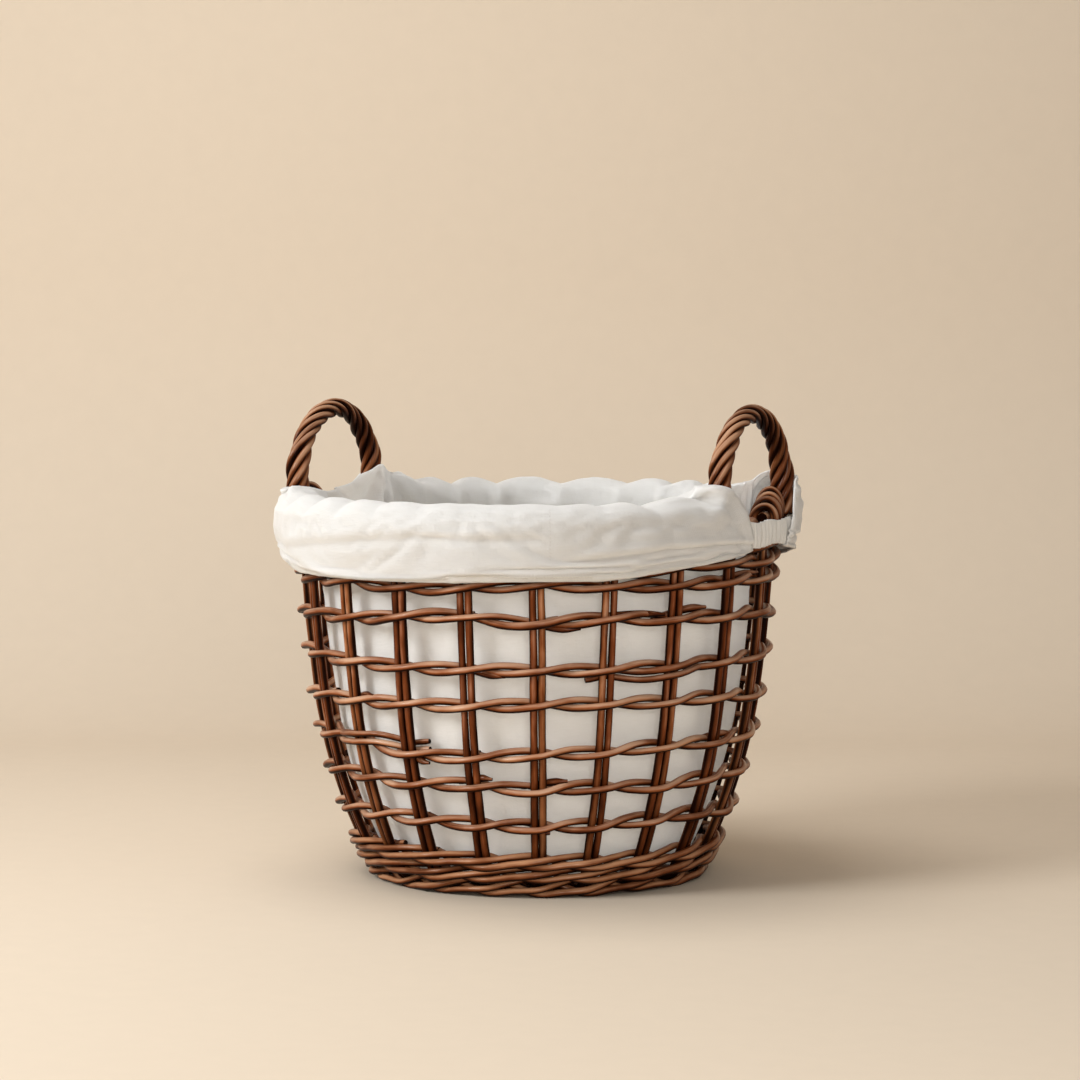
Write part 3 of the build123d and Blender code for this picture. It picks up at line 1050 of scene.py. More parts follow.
    def cut_end(self, s: float, at: float, up: float, rise: Array) -> Rod:
        """Cut end of a rod that comes out between two pairs.

        Args:
            s: Length of its row up the wall.
            at: Where it ends, in pairs from the first one.
            up: Distance of the end above the row.
            rise: Knots of the row's wander.

        Returns:
            The rod.
        """
        share = np.linspace(0, 1, 16)
        u = math.floor(at) - self.cut_behind + (at - math.floor(at) + self.cut_behind) * share
        swing = self.lattice.swing(float(self.lattice.wall.at(s)[0]), self.weaver_width)
        out = swing * (-1.05 + 1.25 * smooth_step(share, 0.25, 1.0))
        lift = spline_round(rise, u * len(rise) / self.lattice.pairs)
        points = self.lattice.place(u, s + lift, out, up * smooth_step(share, 0.0, 0.9))
        width = self.cut_radius + self.cut_swell * smooth_step(share, 0.3, 0.7)
        width = width - self.cut_point * smooth_step(share, 0.72, 1.0)
        return Rod(points, width, -0.5 * self.rng.random())

    def doubling(self, s: float, first: int, rise: Array) -> Rod:
        """Short rod over two pairs, at a length up the wall and from a pair, with its row's wander."""
        points = self.lattice.weaver((first, first + 2), s, Cycle.TWINE, first, self.weaver_width, rise)
        return Rod(points, tapered(len(points), *self.doubled_radii), self.rng.random())

    def rows(self) -> None:
        """Nine twined rows of two weavers."""
        for k, s in enumerate(self.row_lengths()):
            rise = self.rise(self.front_rises[k], self.row_wander)
            rods = self.round_rods(s, Cycle.TWINE, self.weaver_width, rise, self.row_stagger * k)
            rods += [self.cut_end(s, at, up, rise) for row, at, up in self.cut_ends if row == k]
            rods += [self.doubling(s + up, first, rise) for row, first, up in self.doubled if row == k]
            name = f"twined_row_{k + 1}"
            piece = self.tree.piece(f"willow_{name}", rods, self.finishes[Slot.WEAVER])
            settle_piece(piece, Body.BASKET, Slot.WEAVER, name)

    def wales(self) -> None:
        """Three rounds of three-rod wale at the heel."""
        names = ("heel_wale", "lower_wale", "upper_wale")
        for k, s in enumerate(self.wale_lengths()):
            rise = self.rise(0.0, self.wale_wander)
            rods = self.round_rods(s, Cycle.WALE, self.weaver_width, rise, self.wale_stagger * k)
            piece = self.tree.piece(f"willow_{names[k]}", rods, self.wale_finish, crook=self.wale_crook)
            stand_on_floor(piece)
            settle_piece(piece, Body.BASKET, Slot.WEAVER, names[k])

    def border(self) -> None:
        """Twined border of two thick rods."""
        rise = self.rise(0.0, self.border_wander)
        rods = self.round_rods(self.border_length, Cycle.TWINE, self.border_width, rise, self.border_start)
        piece = self.tree.piece("willow_border", rods, self.finishes[Slot.WEAVER], crook=self.stiff_crook)
        settle_piece(piece, Body.BASKET, Slot.WEAVER, "border")

    def dress_base(self, name: str, rods: list[Rod], sides: int) -> None:
        """One piece of the base, in place of the node of that name."""
        finish = self.finishes[Slot.BASE]
        piece = self.tree.piece(f"willow_{name}", rods, finish, crook=self.base_crook, sides=sides)
        settle_piece(piece, Body.BASKET, Slot.BASE, name)


@dataclass
class Base:
    """Round base: five slit sticks, five threaded through them, and rounds of fine twining."""

    work: Basketwork
    pierced_width: float = 0.0084
    threaded_width: float = 0.0052
    stick_gap: float = 0.0006
    fan_radius: float = 0.030
    bundle_edge: float = 0.0036
    edge_gap: float = 0.0012
    sticks: int = 5
    twine_width: float = 0.0031
    stick_half: float = 0.0030
    first_round: float = 0.045
    feet_from: float = 0.116
    round_pitch: float = 0.0064
    bundle_rounds: tuple[float, ...] = (0.0335, 0.0368, 0.0401)
    bundle_sink: float = 0.0004
    thin_from: float = 0.026
    twine_gap: float = 0.0001
    stick_sides: int = 10
    twine_sides: int = 6
    seed: int = 8

    @property
    def level(self) -> float:
        """Height of the sticks' middle."""
        return self.work.lattice.wall.base_height

    @property
    def edge(self) -> float:
        """Radius at which the sticks end."""
        return self.work.lattice.wall.bend_start - self.edge_gap

    def stick(self, k: int, pitch: float, across: bool) -> Array:
        """Middle line of a stick that leaves the bundle in a bend and fans out to the edge.

        Args:
            k: Its number, 0 in the middle.
            pitch: Distance from one stick to the next in the bundle.
            across: Whether it lies along Y and not along X.

        Returns:
            Points from end to end.
        """
        half = self.sticks // 2
        leave = half * (self.pierced_width + self.stick_gap) + self.pierced_width / 2 + self.bundle_edge
        fan = k * self.work.lattice.step
        side = 1 if k >= 0 else -1
        aside = self.edge * math.sin(abs(fan)) - abs(k) * pitch
        ahead = self.edge * math.cos(fan) - leave
        reach = math.hypot(aside - self.fan_radius, ahead)
        turn = math.atan2(aside - self.fan_radius, ahead) + math.asin(self.fan_radius / reach) if k else 0.0
        bend = np.linspace(0, turn, 8)
        x = leave + self.fan_radius * np.sin(bend)
        y = side * (abs(k) * pitch + self.fan_radius * (1 - np.cos(bend)))
        out = np.linspace(0, 1, 20)[1:]
        end_x, end_y = self.edge * math.cos(fan), self.edge * math.sin(fan)
        x = np.concatenate((np.linspace(0, leave, 6)[:-1], x, x[-1] + (end_x - x[-1]) * out))
        y = np.concatenate((np.full(5, k * pitch), y, y[-1] + (end_y - y[-1]) * out))
        x, y = np.concatenate((-x[:0:-1], x)), np.concatenate((y[:0:-1], y))
        x, y = (-y, x) if across else (x, y)
        return np.stack((x, y, np.full(len(x), self.level)), 1)

    def bundle(self, width: float, across: bool, rng: np.random.Generator) -> list[Rod]:
        """The sticks of one way, each thinned towards its ends.

        Args:
            width: Diameter of a stick.
            across: Whether they lie along Y.
            rng: Seeded source of numbers.

        Returns:
            The sticks.
        """
        half = self.sticks // 2
        rods = []
        for k in range(-half, half + 1):
            points = self.stick(k, width + self.stick_gap, across)
            far = np.linalg.norm(points[:, :2], axis=1)
            share = smooth_step(far, self.thin_from, self.first_round)
            radius = width / 2 + (min(self.stick_half, width / 2) - width / 2) * share
            rods.append(Rod(points, radius, rng.random(), self.below(len(points))))
        return rods

    @staticmethod
    def below(count: int) -> Array:
        """The side that sets the painted highlight and painted shade of the base's rods, which is downwards.
        """
        return np.tile((0.0, 0.0, -1.0), (count, 1))

    def twined_round(self, radius: float, count: int, way: int, tone: float) -> Rod:
        """One rod of a round of twining.

        Args:
            radius: Radius of the round.
            count: Count of sticks and stake feet that it passes.
            way: 0 or 1, for the two rods of the round.
            tone: Its shade.

        Returns:
            The rod.
        """
        angle = np.linspace(0, TURN, count * 9 + 1)[:-2]
        phase = count * angle / 2 + math.pi * way
        swing = self.stick_half + self.twine_width / 2 + self.twine_gap
        r = radius + (self.twine_width + self.twine_gap) / 2 * np.sin(phase)
        points = round_points(r, angle, self.level + swing * np.cos(phase))
        half = self.twine_width / 2
        return Rod(points, tapered(len(points), half, half * 0.95), tone, self.below(len(points)))

    def build(self) -> None:
        """Build the sticks and the twining."""
        rng = np.random.default_rng(self.seed)
        pierced = self.bundle(self.pierced_width, False, rng)
        threaded = self.bundle(self.threaded_width, True, rng)
        self.work.dress_base("pierced_base_sticks", pierced, self.stick_sides)
        self.work.dress_base("threaded_base_sticks", threaded, self.stick_sides)
        pairs = self.work.lattice.pairs
        rods = []
        for k, radius in enumerate(self.bundle_rounds):
            angle = np.linspace(0, TURN, 120)[:-1]
            tilt = (self.pierced_width + self.twine_width) / 2 - self.bundle_sink
            height = self.level + tilt * np.clip(1.6 * np.cos(2 * angle + k * math.pi), -1, 1)
            points = round_points(radius, angle, height)
            half = self.twine_width / 2
            rods.append(Rod(points, tapered(len(points), half, half), rng.random(), self.below(len(points))))
        radius = self.first_round
        while radius < self.edge - self.twine_width:
            count = pairs if radius < self.feet_from else 2 * pairs
            rods += [self.twined_round(radius, count, way, rng.random()) for way in (0, 1)]
            radius += self.round_pitch
        self.work.dress_base("base_weave", rods, self.twine_sides)


@dataclass
class Handle:
    """A bow of willow rods twisted like a rope, with its ends lashed round the border."""

    side: float
    name: str
    tree: RodTree
    finish: Material
    reach: float = 0.2284
    half: float = 0.0742
    spring: float = 0.3796
    foot: float = 0.3556
    leg_tip: float = 0.3305
    core_width: float = 0.010
    strand_width: float = 0.0069
    strands: int = 6
    lay: float = 0.0071
    leg_swell: float = 0.12
    turns: float = 2.9
    border_radius: float = 0.2300
    border_height: float = 0.3460
    lash_width: float = 0.0086
    lash_turns: int = 4
    lash_step: float = math.radians(2.1)
    lash_from: float = math.radians(14.4)
    lash_tilt: float = math.radians(1.8)
    lash_reach: float = 0.0108
    lash_middle: float = 0.0155
    lash_drop: float = 0.0036
    lash_half: float = 0.0175
    lash_shrink: float = 0.0015
    tail_rise: float = 0.0072
    tail_swell: float = 1.25
    core_taper: float = 0.022
    crook: float = 0.0006
    swelling: float = 0.14
    seed: int = 3

    def bow(self, length: Array) -> tuple[Array, Array, Array]:
        """Middle line of the bow.

        Args:
            length: Length from the foot of the first leg.

        Returns:
            Points, the outward side and the side across.
        """
        rise = self.spring - self.foot
        turn = np.clip((length - rise) / self.half, 0, math.pi)
        over = np.maximum(length - rise - math.pi * self.half, 0)
        low = np.minimum(length - rise, 0)
        y = -self.half * np.cos(turn)
        z = self.spring + self.half * np.sin(turn) + low - over
        across = np.tile((self.side, 0.0, 0.0), (len(length), 1))
        outward = np.stack((np.zeros(len(length)), -np.cos(turn) * self.side, np.sin(turn)), 1)
        points = np.stack((np.full(len(length), self.side * self.reach), y * self.side, z), 1)
        return points, outward, across

    def lashing(self, leg: float, rng: np.random.Generator) -> list[Rod]:
        """Turns of a leg's rods round the border, lower and tighter away from the leg.

        Args:
            leg: -1.0 or 1.0, for the two legs.
            rng: Seeded source of numbers.

        Returns:
            The rods.
        """
        facing = 0.0 if self.side > 0 else math.pi
        half = self.lash_width / 2
        last = self.lash_from - (self.lash_turns - 0.3) * self.lash_step
        around = facing + leg * np.linspace(self.lash_from + 0.03, last, 24)
        tail = round_points(self.border_radius, around, self.border_height + self.tail_rise)
        thick = half * self.tail_swell
        rods = [Rod(tail, tapered(24, thick, thick, 0.92), 0.6)]
        for k in range(self.lash_turns):
            turn = np.linspace(-0.36 * math.pi, 1.36 * math.pi, 46)
            own = rng.uniform(0.95, 1.05)
            lean = self.lash_step * turn / TURN
            aside = self.lash_from - k * self.lash_step - lean + self.lash_tilt * np.sin(turn)
            around = facing + leg * aside
            radius = self.border_radius + self.lash_reach * np.cos(turn) * own
            high = (self.lash_half - self.lash_shrink * k) * np.sin(turn) * own
            height = self.border_height + self.lash_middle - self.lash_drop * k + high
            # Out from the border rod: the side that sets the lashing's painted highlight and painted shade.
            away = round_points(np.cos(turn), around, np.sin(turn))
            width = tapered(46, half * own, half * 0.94 * own)
            rods.append(Rod(round_points(radius, around, height), width, rng.random(), away))
        return rods

    def build(self) -> None:
        """Build the handle's rods and put them on the basket."""
        rng = np.random.default_rng(self.seed)
        total = 2 * (self.spring - self.foot) + math.pi * self.half
        rods = []
        for k in range(self.strands):
            length = np.linspace(0.0, total, 150)
            points, outward, across = self.bow(length)
            phase = TURN * (self.turns * length / total + k / self.strands)
            phase = phase + spline_round(wander(rng, 9, 0.10), length / total * 8 + 1)
            swell = 1 + self.leg_swell * np.cos(TURN * length / total)
            lay = self.lay * swell * (1 + spline_round(wander(rng, 12, 0.07), length / total * 11 + 1))
            away = outward * np.cos(phase)[:, None] + across * np.sin(phase)[:, None]
            points = points + away * lay[:, None]
            width = self.strand_width / 2 * rng.uniform(0.94, 1.06) * swell
            width[[0, -1]] *= 0.8
            # The strand's outward side also sets its painted highlight and painted shade.
            rods.append(Rod(points, width, rng.random(), away))
        length = np.linspace(self.leg_tip - self.foot, total + self.foot - self.leg_tip, 120)
        core = self.bow(length)[0]
        from_end = np.minimum(length - length[0], length[-1] - length)
        point = 0.5 + 0.5 * smooth_step(from_end, 0.0, self.core_taper)
        rods.append(Rod(core, self.core_width / 2 * point, 0.0))
        for leg in (-1.0, 1.0):
            rods += self.lashing(leg, rng)
        name = f"willow_{self.name}_handle"
        piece = self.tree.piece(name, rods, self.finish, crook=self.crook, swelling=self.swelling)
        settle_piece(piece, Body.BASKET, Slot.HANDLE, f"{self.name}_handle_core", f"{self.name}_handle_wrap")


def halved(points: Array, closed: bool) -> Array:
    """Points with a new one midway between each two, on a smooth curve.

    Args:
        points: Points along the first axis.
        closed: Whether the last point is followed by the first.

    Returns:
        The old and new points in order.
    """
    if closed:
        padded = np.concatenate((points[-1:], points, points[:2]))
    else:
        padded = np.concatenate((2 * points[:1] - points[1:2], points, 2 * points[-1:] - points[-2:-1]))
    a, b, c, d = (padded[k:len(padded) - 3 + k] for k in range(4))
    both = np.stack((b, (9 * (b + c) - a - d) / 16), 1).reshape(-1, *points.shape[1:])
    return both if closed else np.concatenate((both, points[-1:]))


@dataclass
class Ripples:
    """Smooth random heights over a sheet, closed round the basket."""

    rng: np.random.Generator
    round_count: int
    up_count: int

    def __post_init__(self) -> None:
        """Draw the heights at the knots."""
        self.knots = self.rng.normal(0, 1, (self.up_count, self.round_count))

    def knot(self, row: Array, column: Array) -> Array:
        """Heights at knots, counted up and round."""
        return self.knots[row, column % self.round_count]

    def at(self, turn: Array, up: Array) -> Array:
        """Height at shares of a turn round and of the way up.

        Args:
            turn: Shares of a turn.
            up: Shares of the way up.

        Returns:
            The heights.
        """
        place = np.clip(up, 0, 1) * (self.up_count - 1)
        low = np.clip(np.floor(place).astype(int), 0, self.up_count - 2)
        share = smooth_step(place - low, 0, 1)
        column = turn * self.round_count
        first = np.floor(column).astype(int)
        t = smooth_step(column - first, 0, 1)
        under = self.knot(low, first) * (1 - t) + self.knot(low, first + 1) * t
        over = self.knot(low + 1, first) * (1 - t) + self.knot(low + 1, first + 1) * t
        return under * (1 - share) + over * share


@dataclass
class ClothSheet:
    """The liner's side as grids of points: the wall all round and a cuff in front and behind.

    Each point is x, y, z and the length of cloth from the bottom. A cuff's first row is a
    part of the wall's last row.
    """

    wall: Array
    cuffs: list[Array]
    columns: list[Array]
    cloth_round: float

    def refined(self) -> "ClothSheet":
        """The same sheet with twice the rows and columns.

        Returns:
            The finer sheet.
        """
        wall = halved(halved(self.wall, False).swapaxes(0, 1), True).swapaxes(0, 1)
        cuffs, columns = [], []
        for cuff, at in zip(self.cuffs, self.columns):
            fine = halved(halved(cuff, False).swapaxes(0, 1), False).swapaxes(0, 1)
            fine_at = np.arange(2 * at[0], 2 * at[-1] + 1)
            fine[0] = wall[-1, fine_at]
            cuffs.append(fine)
            columns.append(fine_at)
        return ClothSheet(wall, cuffs, columns, self.cloth_round)

    def indices(self) -> list[Array]:
        """Vertex numbers of the wall's grid and of each cuff's.

        Returns:
            A grid of numbers for each.
        """
        rows, columns = self.wall.shape[:2]
        numbers = [np.arange(rows * columns).reshape(rows, columns)]
        start = rows * columns
        for cuff, at in zip(self.cuffs, self.columns):
            count = (len(cuff) - 1) * len(at)
            own = np.arange(start, start + count).reshape(len(cuff) - 1, len(at))
            numbers.append(np.concatenate((numbers[0][-1:, at], own)))
            start += count
        return numbers

    def points(self) -> Array:
        """All vertices in the order of their numbers."""
        parts = [self.wall.reshape(-1, 4)] + [cuff[1:].reshape(-1, 4) for cuff in self.cuffs]
        return np.concatenate(parts)

    def moved(self, places: Array) -> "ClothSheet":
        """The same sheet with its vertices in other places.

        Args:
            places: New places of the vertices.

        Returns:
            The moved sheet.
        """
        rows, columns = self.wall.shape[:2]
        all_points = np.concatenate((places, self.points()[:, 3:]), 1)
        wall = all_points[:rows * columns].reshape(rows, columns, 4)
        cuffs = [all_points[numbers] for numbers in self.indices()[1:]]
        return ClothSheet(wall, cuffs, self.columns, self.cloth_round)

    def mesh(self, name: str) -> Mesh:
        """Mesh of the sheet with its cloth map.

        Args:
            name: Name of the mesh.

        Returns:
            The mesh.
        """
        numbers = self.indices()
        quads, maps = [], []
        columns = self.wall.shape[1]
        step = self.cloth_round / columns
        lengths = self.points()[:, 3]
        for k, grid in enumerate(numbers):
            across = np.arange(columns + 1) if k == 0 else self.columns[k - 1]
            if k == 0:
                grid = np.concatenate((grid, grid[:, :1]), 1)
            quads.append(grid_quads(grid))
            across_corners = grid_quads(np.broadcast_to(across * step, grid.shape))
            maps.append(np.stack((across_corners, lengths[quads[-1]]), 2))
        mesh = bpy.data.meshes.new(name)
        mesh.from_pydata(self.points()[:, :3].tolist(), [], np.concatenate(quads).tolist())
        layer = mesh.uv_layers.new(name="cloth")
        layer.data.foreach_set("uv", np.concatenate(maps).astype(np.float32).ravel())
        mesh.polygons.foreach_set("use_smooth", np.ones(len(mesh.polygons), bool))
        return mesh


class StitchTree:
    """Geometry Nodes tree that sets stitches end to end along lines."""

    sizes = {"Spacing": 0.0034, "Length": 0.0027, "Thickness": 0.0009}

    def __init__(self) -> None:
        """Build the tree."""
        inputs = {"Lines": "Geometry", **dict.fromkeys(self.sizes, "Float"), "Finish": "Material"}
        graph = new_tree("Stitch row", "GeometryNodeTree", inputs, {"Stitches": "Geometry"})
        given = graph.add("NodeGroupInput").outputs
        line = graph.out("GeometryNodeMeshToCurve", {"Mesh": given["Lines"]})
        spaced = {"Curve": line, "Length": given["Spacing"]}
        along = graph.add("GeometryNodeCurveToPoints", spaced, mode="LENGTH").outputs
        turn = graph.out("FunctionNodeAlignRotationToVector", {"Vector": along["Tangent"]}, axis="Z")
        bead = graph.out("GeometryNodeMeshUVSphere", {"Segments": 6, "Rings": 4, "Radius": 0.5})
        size = graph.combine(given["Thickness"], given["Thickness"], given["Length"])
        placed = {"Points": along["Points"], "Instance": bead, "Rotation": turn, "Scale": size}
        row = graph.out("GeometryNodeInstanceOnPoints", placed)
        row = graph.out("GeometryNodeRealizeInstances", {"Geometry": row})
        row = graph.out("GeometryNodeSetShadeSmooth", {"Geometry": row, "Shade Smooth": True})
        row = graph.out("GeometryNodeSetMaterial", {"Geometry": row, "Material": given["Finish"]})
        graph.add("NodeGroupOutput", {0: row})
        self.tree = graph.tree

    def piece(self, name: str, lines: Mesh, thread: Material) -> Piece:
        """Stitches of a thread along the edges of a mesh.

        Args:
            name: Name of the piece.
            lines: Mesh of vertices and edges.
            thread: Material of the thread.

        Returns:
            The stitches.
        """
        source = link(f"{name}_lines", lines)
        modifier = source.modifiers.new("Stitch row", "NODES")
        modifier.node_group = self.tree
        set_inputs(modifier, {**self.sizes, "Finish": thread})
        return plain_mesh(source, name)


@dataclass
class Liner:
    """Lift-out cotton bag: a round bottom, a side, and a top that folds out over the rim as two cuffs."""

    wall: WallLine
    finish: Material
    trim: Material
    thread: Material
    stitches: StitchTree
    columns: int = 200
    wall_rows: int = 36
    cuff_rows: int = 21
    slot_columns: int = 12
    inset: float = 0.0162
    cloth: float = 0.0016
    foot_length: float = -0.0108
    bottom_top: float = 0.0157
    fold_middle: float = 0.2362
    fold_half: float = 0.0222
    fold_height: float = 0.35356
    fold_rise: float = 0.0215
    hem_radius: float = 0.2452
    hem_height: float = 0.3036
    hem_end_rise: float = 0.0292
    slot_foot: float = math.radians(9.4)
    rope_plane: float = 0.2496
    band_plane: float = 0.2434
    hem_rows: int = 5
    seam: float = math.radians(300)
    legs: tuple[tuple[float, float], ...] = ((18, 0.027), (342, 0.020), (198, 0.010), (162, 0.016))
    leg_place: tuple[float, float] = (0.2284, 0.0742)
    leg_radius: float = 0.0120
    edge_at: tuple[float, ...] = (-21.6, -15, -8, 0, 8, 15, 21.6)
    right_edge: tuple[float, ...] = (0.386, 0.384, 0.385, 0.386, 0.386, 0.389, 0.395)
    left_edge: tuple[float, ...] = (0.380, 0.374, 0.376, 0.384, 0.391, 0.398, 0.394)
    creases: tuple[tuple[float, float, tuple[tuple[float, float], ...]], ...] = (
        (0.0030, 0.055, ((224, 0.68), (240, 0.57), (254, 0.49), (272, 0.45), (284, 0.48), (302, 0.44))),
        (0.0034, 0.042, ((302, 0.70), (313, 0.66), (322, 0.63), (331, 0.68), (342, 0.86))),
        (0.0024, 0.070, ((306, 0.36), (316, 0.32), (325, 0.33), (336, 0.46))),
        (0.0010, 0.040, ((256, 0.84), (276, 0.87), (296, 0.85), (312, 0.87))),
    )
    scallops: int = 29
    scallop_height: float = 0.0052
    cuff_pleat: float = 0.0024
    wall_pleat: float = 0.0065
    scallop_reach: float = 0.022
    wall_pleat_reach: float = 0.07
    cuff_pleat_reach: float = 0.02
    cuff_pleat_start: float = 0.008
    wall_slack: float = 0.0026
    wall_fold: float = 0.0026
    wall_wave: float = 0.0028
    leg_fold: float = 0.0034
    leg_side: float = 0.2245
    cuff_wave: float = 0.0011
    cuff_ripple: float = 0.0003
    fine_pucker: float = 0.00035
    tiny_pucker: float = 0.00022
    held_heights: tuple[float, float] = (0.22, 0.335)
    form_levels: tuple[float, ...] = (0.335, 0.36, 0.385, 0.41, 0.44)
    form_half: float = 0.0122
    form_side: tuple[tuple[float, float], ...] = ((0.2525, 0.345), (0.2465, 0.318), (0.2435, 0.304))
    form_break: float = 0.295
    form_inset: float = 0.0035
    form_drop: float = 0.003
    form_shift: float = 0.0008
    form_skin: float = 0.001
    form_grip: float = 12.0
    cloth_gap: float = 0.0014
    leg_front: float = 0.2532
    leg_ease: float = 0.002
    plane_ease: float = 0.004
    hem_out: float = 0.0006
    hem_thickness: float = 0.0006
    hem_stitch_out: float = 0.0009
    seam_rows: tuple[int, int] = (5, 28)
    seam_out: float = 0.0005
    seam_thickness: float = 0.0004
    seam_stitch_out: float = 0.0006
    side_height: float = 0.455
    side_area: float = 0.595
    bottom_radius: float = 0.1462
    band_half: float = math.radians(20.5)
    band_radius: float = 0.246
    band_limit: float = 0.2492
    band_edges: tuple[float, float] = (0.3290, 0.3530)
    band_pleat: float = 0.0088
    band_rib: float = 0.0034
    band_thickness: float = 0.0010
    band_flat: tuple[float, float] = (0.234, 0.026)
    stretch: float = 0.002
    frames: int = 26
    most_move: float = 0.014
    seed: int = 21

    def __post_init__(self) -> None:
        """Angles of the columns, and each column's distance from its handle."""
        self.rng = np.random.default_rng(self.seed)
        self.angle = np.arange(self.columns) * TURN / self.columns
        self.slot = self.slot_columns * TURN / self.columns
        self.right = np.cos(self.angle) > 0
        self.aside = np.arctan2(np.sin(self.angle), np.abs(np.cos(self.angle)))

    def fold_lift(self) -> Array:
        """Rise of the fold at each column, with peaks by the handles' legs.

        Returns:
            A height for each column.
        """
        lift = wandering(self.rng, 23, 0.0017, self.angle)
        for degrees, height in self.legs:
            inwards = 1 if degrees in (18, 198) else -1
            middle = math.radians(degrees + 3.6 * inwards)
            apart = np.angle(np.exp(1j * (self.angle - middle)))
            lift = lift + height * np.exp(-(apart / math.radians(8.5)) ** 2)
        return lift

    def wall_profile(self) -> Array:
        """Radius, height and length from the foot, up the side and over to the top of the fold.

        Returns:
            Three values for each point.
        """
        s = np.linspace(self.foot_length, self.wall.length, 300)
        radius, height, lean = self.wall.at(np.maximum(s, 0))
        below = np.minimum(s, 0)
        side = np.stack((radius - self.inset * np.cos(lean) + below * np.sin(lean),
                         height + self.inset * np.sin(lean) + below * np.cos(lean)), 1)
        turn = np.linspace(math.pi, math.pi / 2, 40)[1:]
        over = np.stack((self.fold_middle + self.fold_half * np.cos(turn),
                         self.fold_height + self.fold_rise * np.sin(turn)), 1)
        line = np.concatenate((side, over))
        return np.concatenate((line, lengths_along(line)[:, None]), 1)

    def wall_grid(self, lift: Array) -> Array:
        """Side of the bag up to the top of the fold, or to its free edge between a handle's legs.

        Args:
            lift: Rise of the fold at each column.

        Returns:
            The wall's grid.
        """
        line = self.wall_profile()
        total = line[-1, 2]
        spacing = np.linspace(1.9, 0.8, self.wall_rows - 1)
        share = np.concatenate(([0], np.cumsum(spacing))) / spacing.sum()
        near = np.clip(np.abs(self.aside) / self.slot, 0, 1)
        side_end = np.interp(self.fold_height, line[:, 1], line[:, 2])
        top = side_end + (total - side_end) * (0.12 + 0.88 * near ** 5)
        along = share[:, None] * top[None, :]
        radius, height = (np.interp(along, line[:, 2], line[:, k]) for k in (0, 1))
        aside = np.degrees(self.aside)
        free = np.where(self.right, np.interp(aside, self.edge_at, self.right_edge),
                        np.interp(aside, self.edge_at, self.left_edge))
        full = self.fold_height + self.fold_rise + lift
        joined = smooth_step(near, 0.75, 1.0)
        edge = np.where(near < 1, free * (1 - joined) + full * joined, height[-1] + lift)
        raised = smooth_step(along / top[None, :], 0.86, 1.0)
        height = height + (edge - height[-1]) * raised
        leg_window = np.exp(-((np.abs(self.aside) - math.radians(18)) / math.radians(3)) ** 2) * (near < 1)
        radius = np.where(leg_window > 0.2, np.minimum(radius, self.leg_side), radius)
        turn = self.angle / TURN
        folds = Ripples(self.rng, 34, 3)
        broad = Ripples(self.rng, 13, 4)
        up = along / total
        swell = smooth_step(up, 0.05, 0.5) * (1 - 0.8 * raised)
        depth = self.wall_slack + self.wall_fold * folds.at(turn + 0.04 * up, up)
        depth = depth + self.wall_wave * broad.at(turn - 0.08 * up, up)
        radius = radius - np.maximum(depth, -0.0012) * swell
        radius = radius - self.leg_fans(height)
        return round_points(radius, self.angle, height, along)

    def leg_fans(self, height: Array) -> Array:
        """Depth of the folds that fan out below each leg, where the cloth is pulled up.

        Args:
            height: Heights of the wall's grid.

        Returns:
            A depth for each of its points.
        """
        depth = np.zeros(height.shape)
        for degrees, rise in self.legs:
            apart = np.angle(np.exp(1j * (self.angle - math.radians(degrees))))[None, :] * self.fold_middle
            below = self.fold_height + self.fold_rise + rise + 0.012 - height
            reach = np.hypot(apart, below)
            fan = np.arctan2(apart, below)
            folds = np.cos(9.0 * fan + 1.4 * np.sin(3.0 * fan + degrees)) + 0.5 * np.cos(17.0 * fan + degrees)
            fade = smooth_step(reach, 0.010, 0.035) * (1 - smooth_step(reach, 0.05, 0.15))
            depth = depth + self.leg_fold * (1 + folds) * fade
        return depth

    def cuff_grid(self, at: Array, wall: Array, lift: Array) -> Array:
        """A cuff from the top of the fold down to its hem.

        Args:
            at: Numbers of its columns.
            wall: The wall's grid, whose last row it starts from.
            lift: Rise of the fold at each column.

        Returns:
            The cuff's grid.
        """
        share = np.linspace(0, 1, self.cuff_rows)[:, None]
        aside, angle = self.aside[at], self.angle[at]
        away = np.abs(aside)
        near = 1 - smooth_step(away, math.radians(12), math.radians(52))
        hem = self.hem_height + self.hem_end_rise * near + wandering(self.rng, 17, 0.0011, angle)
        turn = np.linspace(math.pi / 2, 0, 60)
        top = np.stack((self.fold_middle + self.fold_half * np.cos(turn), self.fold_rise * np.sin(turn)), 1)
        fall = np.linspace(0, 1, 60)[1:]
        drop = self.fold_height - self.hem_height
        bulge = self.fold_middle + self.fold_half
        low = np.stack((bulge - (bulge - self.hem_radius) * fall ** 1.6, -drop * fall), 1)
        line = np.concatenate((top, low))
        steps = lengths_along(line)
        radius = np.interp(share * steps[-1], steps, line[:, 0]) + 0 * away
        rise = np.interp(share * steps[-1], steps, line[:, 1])
        height = self.fold_height + np.where(rise > 0, rise, rise * (self.fold_height - hem) / drop)
        height = height + lift[at] * (1 - smooth_step(share, 0.0, 0.6))
        turn_share = angle / TURN
        soft = Ripples(self.rng, 21, 6)
        small = Ripples(self.rng, 46, 9)
        free = smooth_step(share, 0.0, 0.2) * (1 - 0.7 * smooth_step(share, 0.8, 1.0))
        radius = radius + (self.cuff_wave * soft.at(turn_share[None, :] + 0.03 * share, share)
                           + self.cuff_ripple * small.at(turn_share[None, :] + 0.05 * share, share)) * free
        slide = (self.slot - self.slot_foot) * (1 - (1 - share) ** 3.0)
        lean = np.exp(-((away - self.slot) / math.radians(15)) ** 2)
        aside = np.sign(aside) * (away - slide * lean)
        flat = self.rope_plane / np.cos(aside)
        leg_window = np.exp(-((np.abs(aside) - math.radians(18)) / math.radians(4.5)) ** 2)
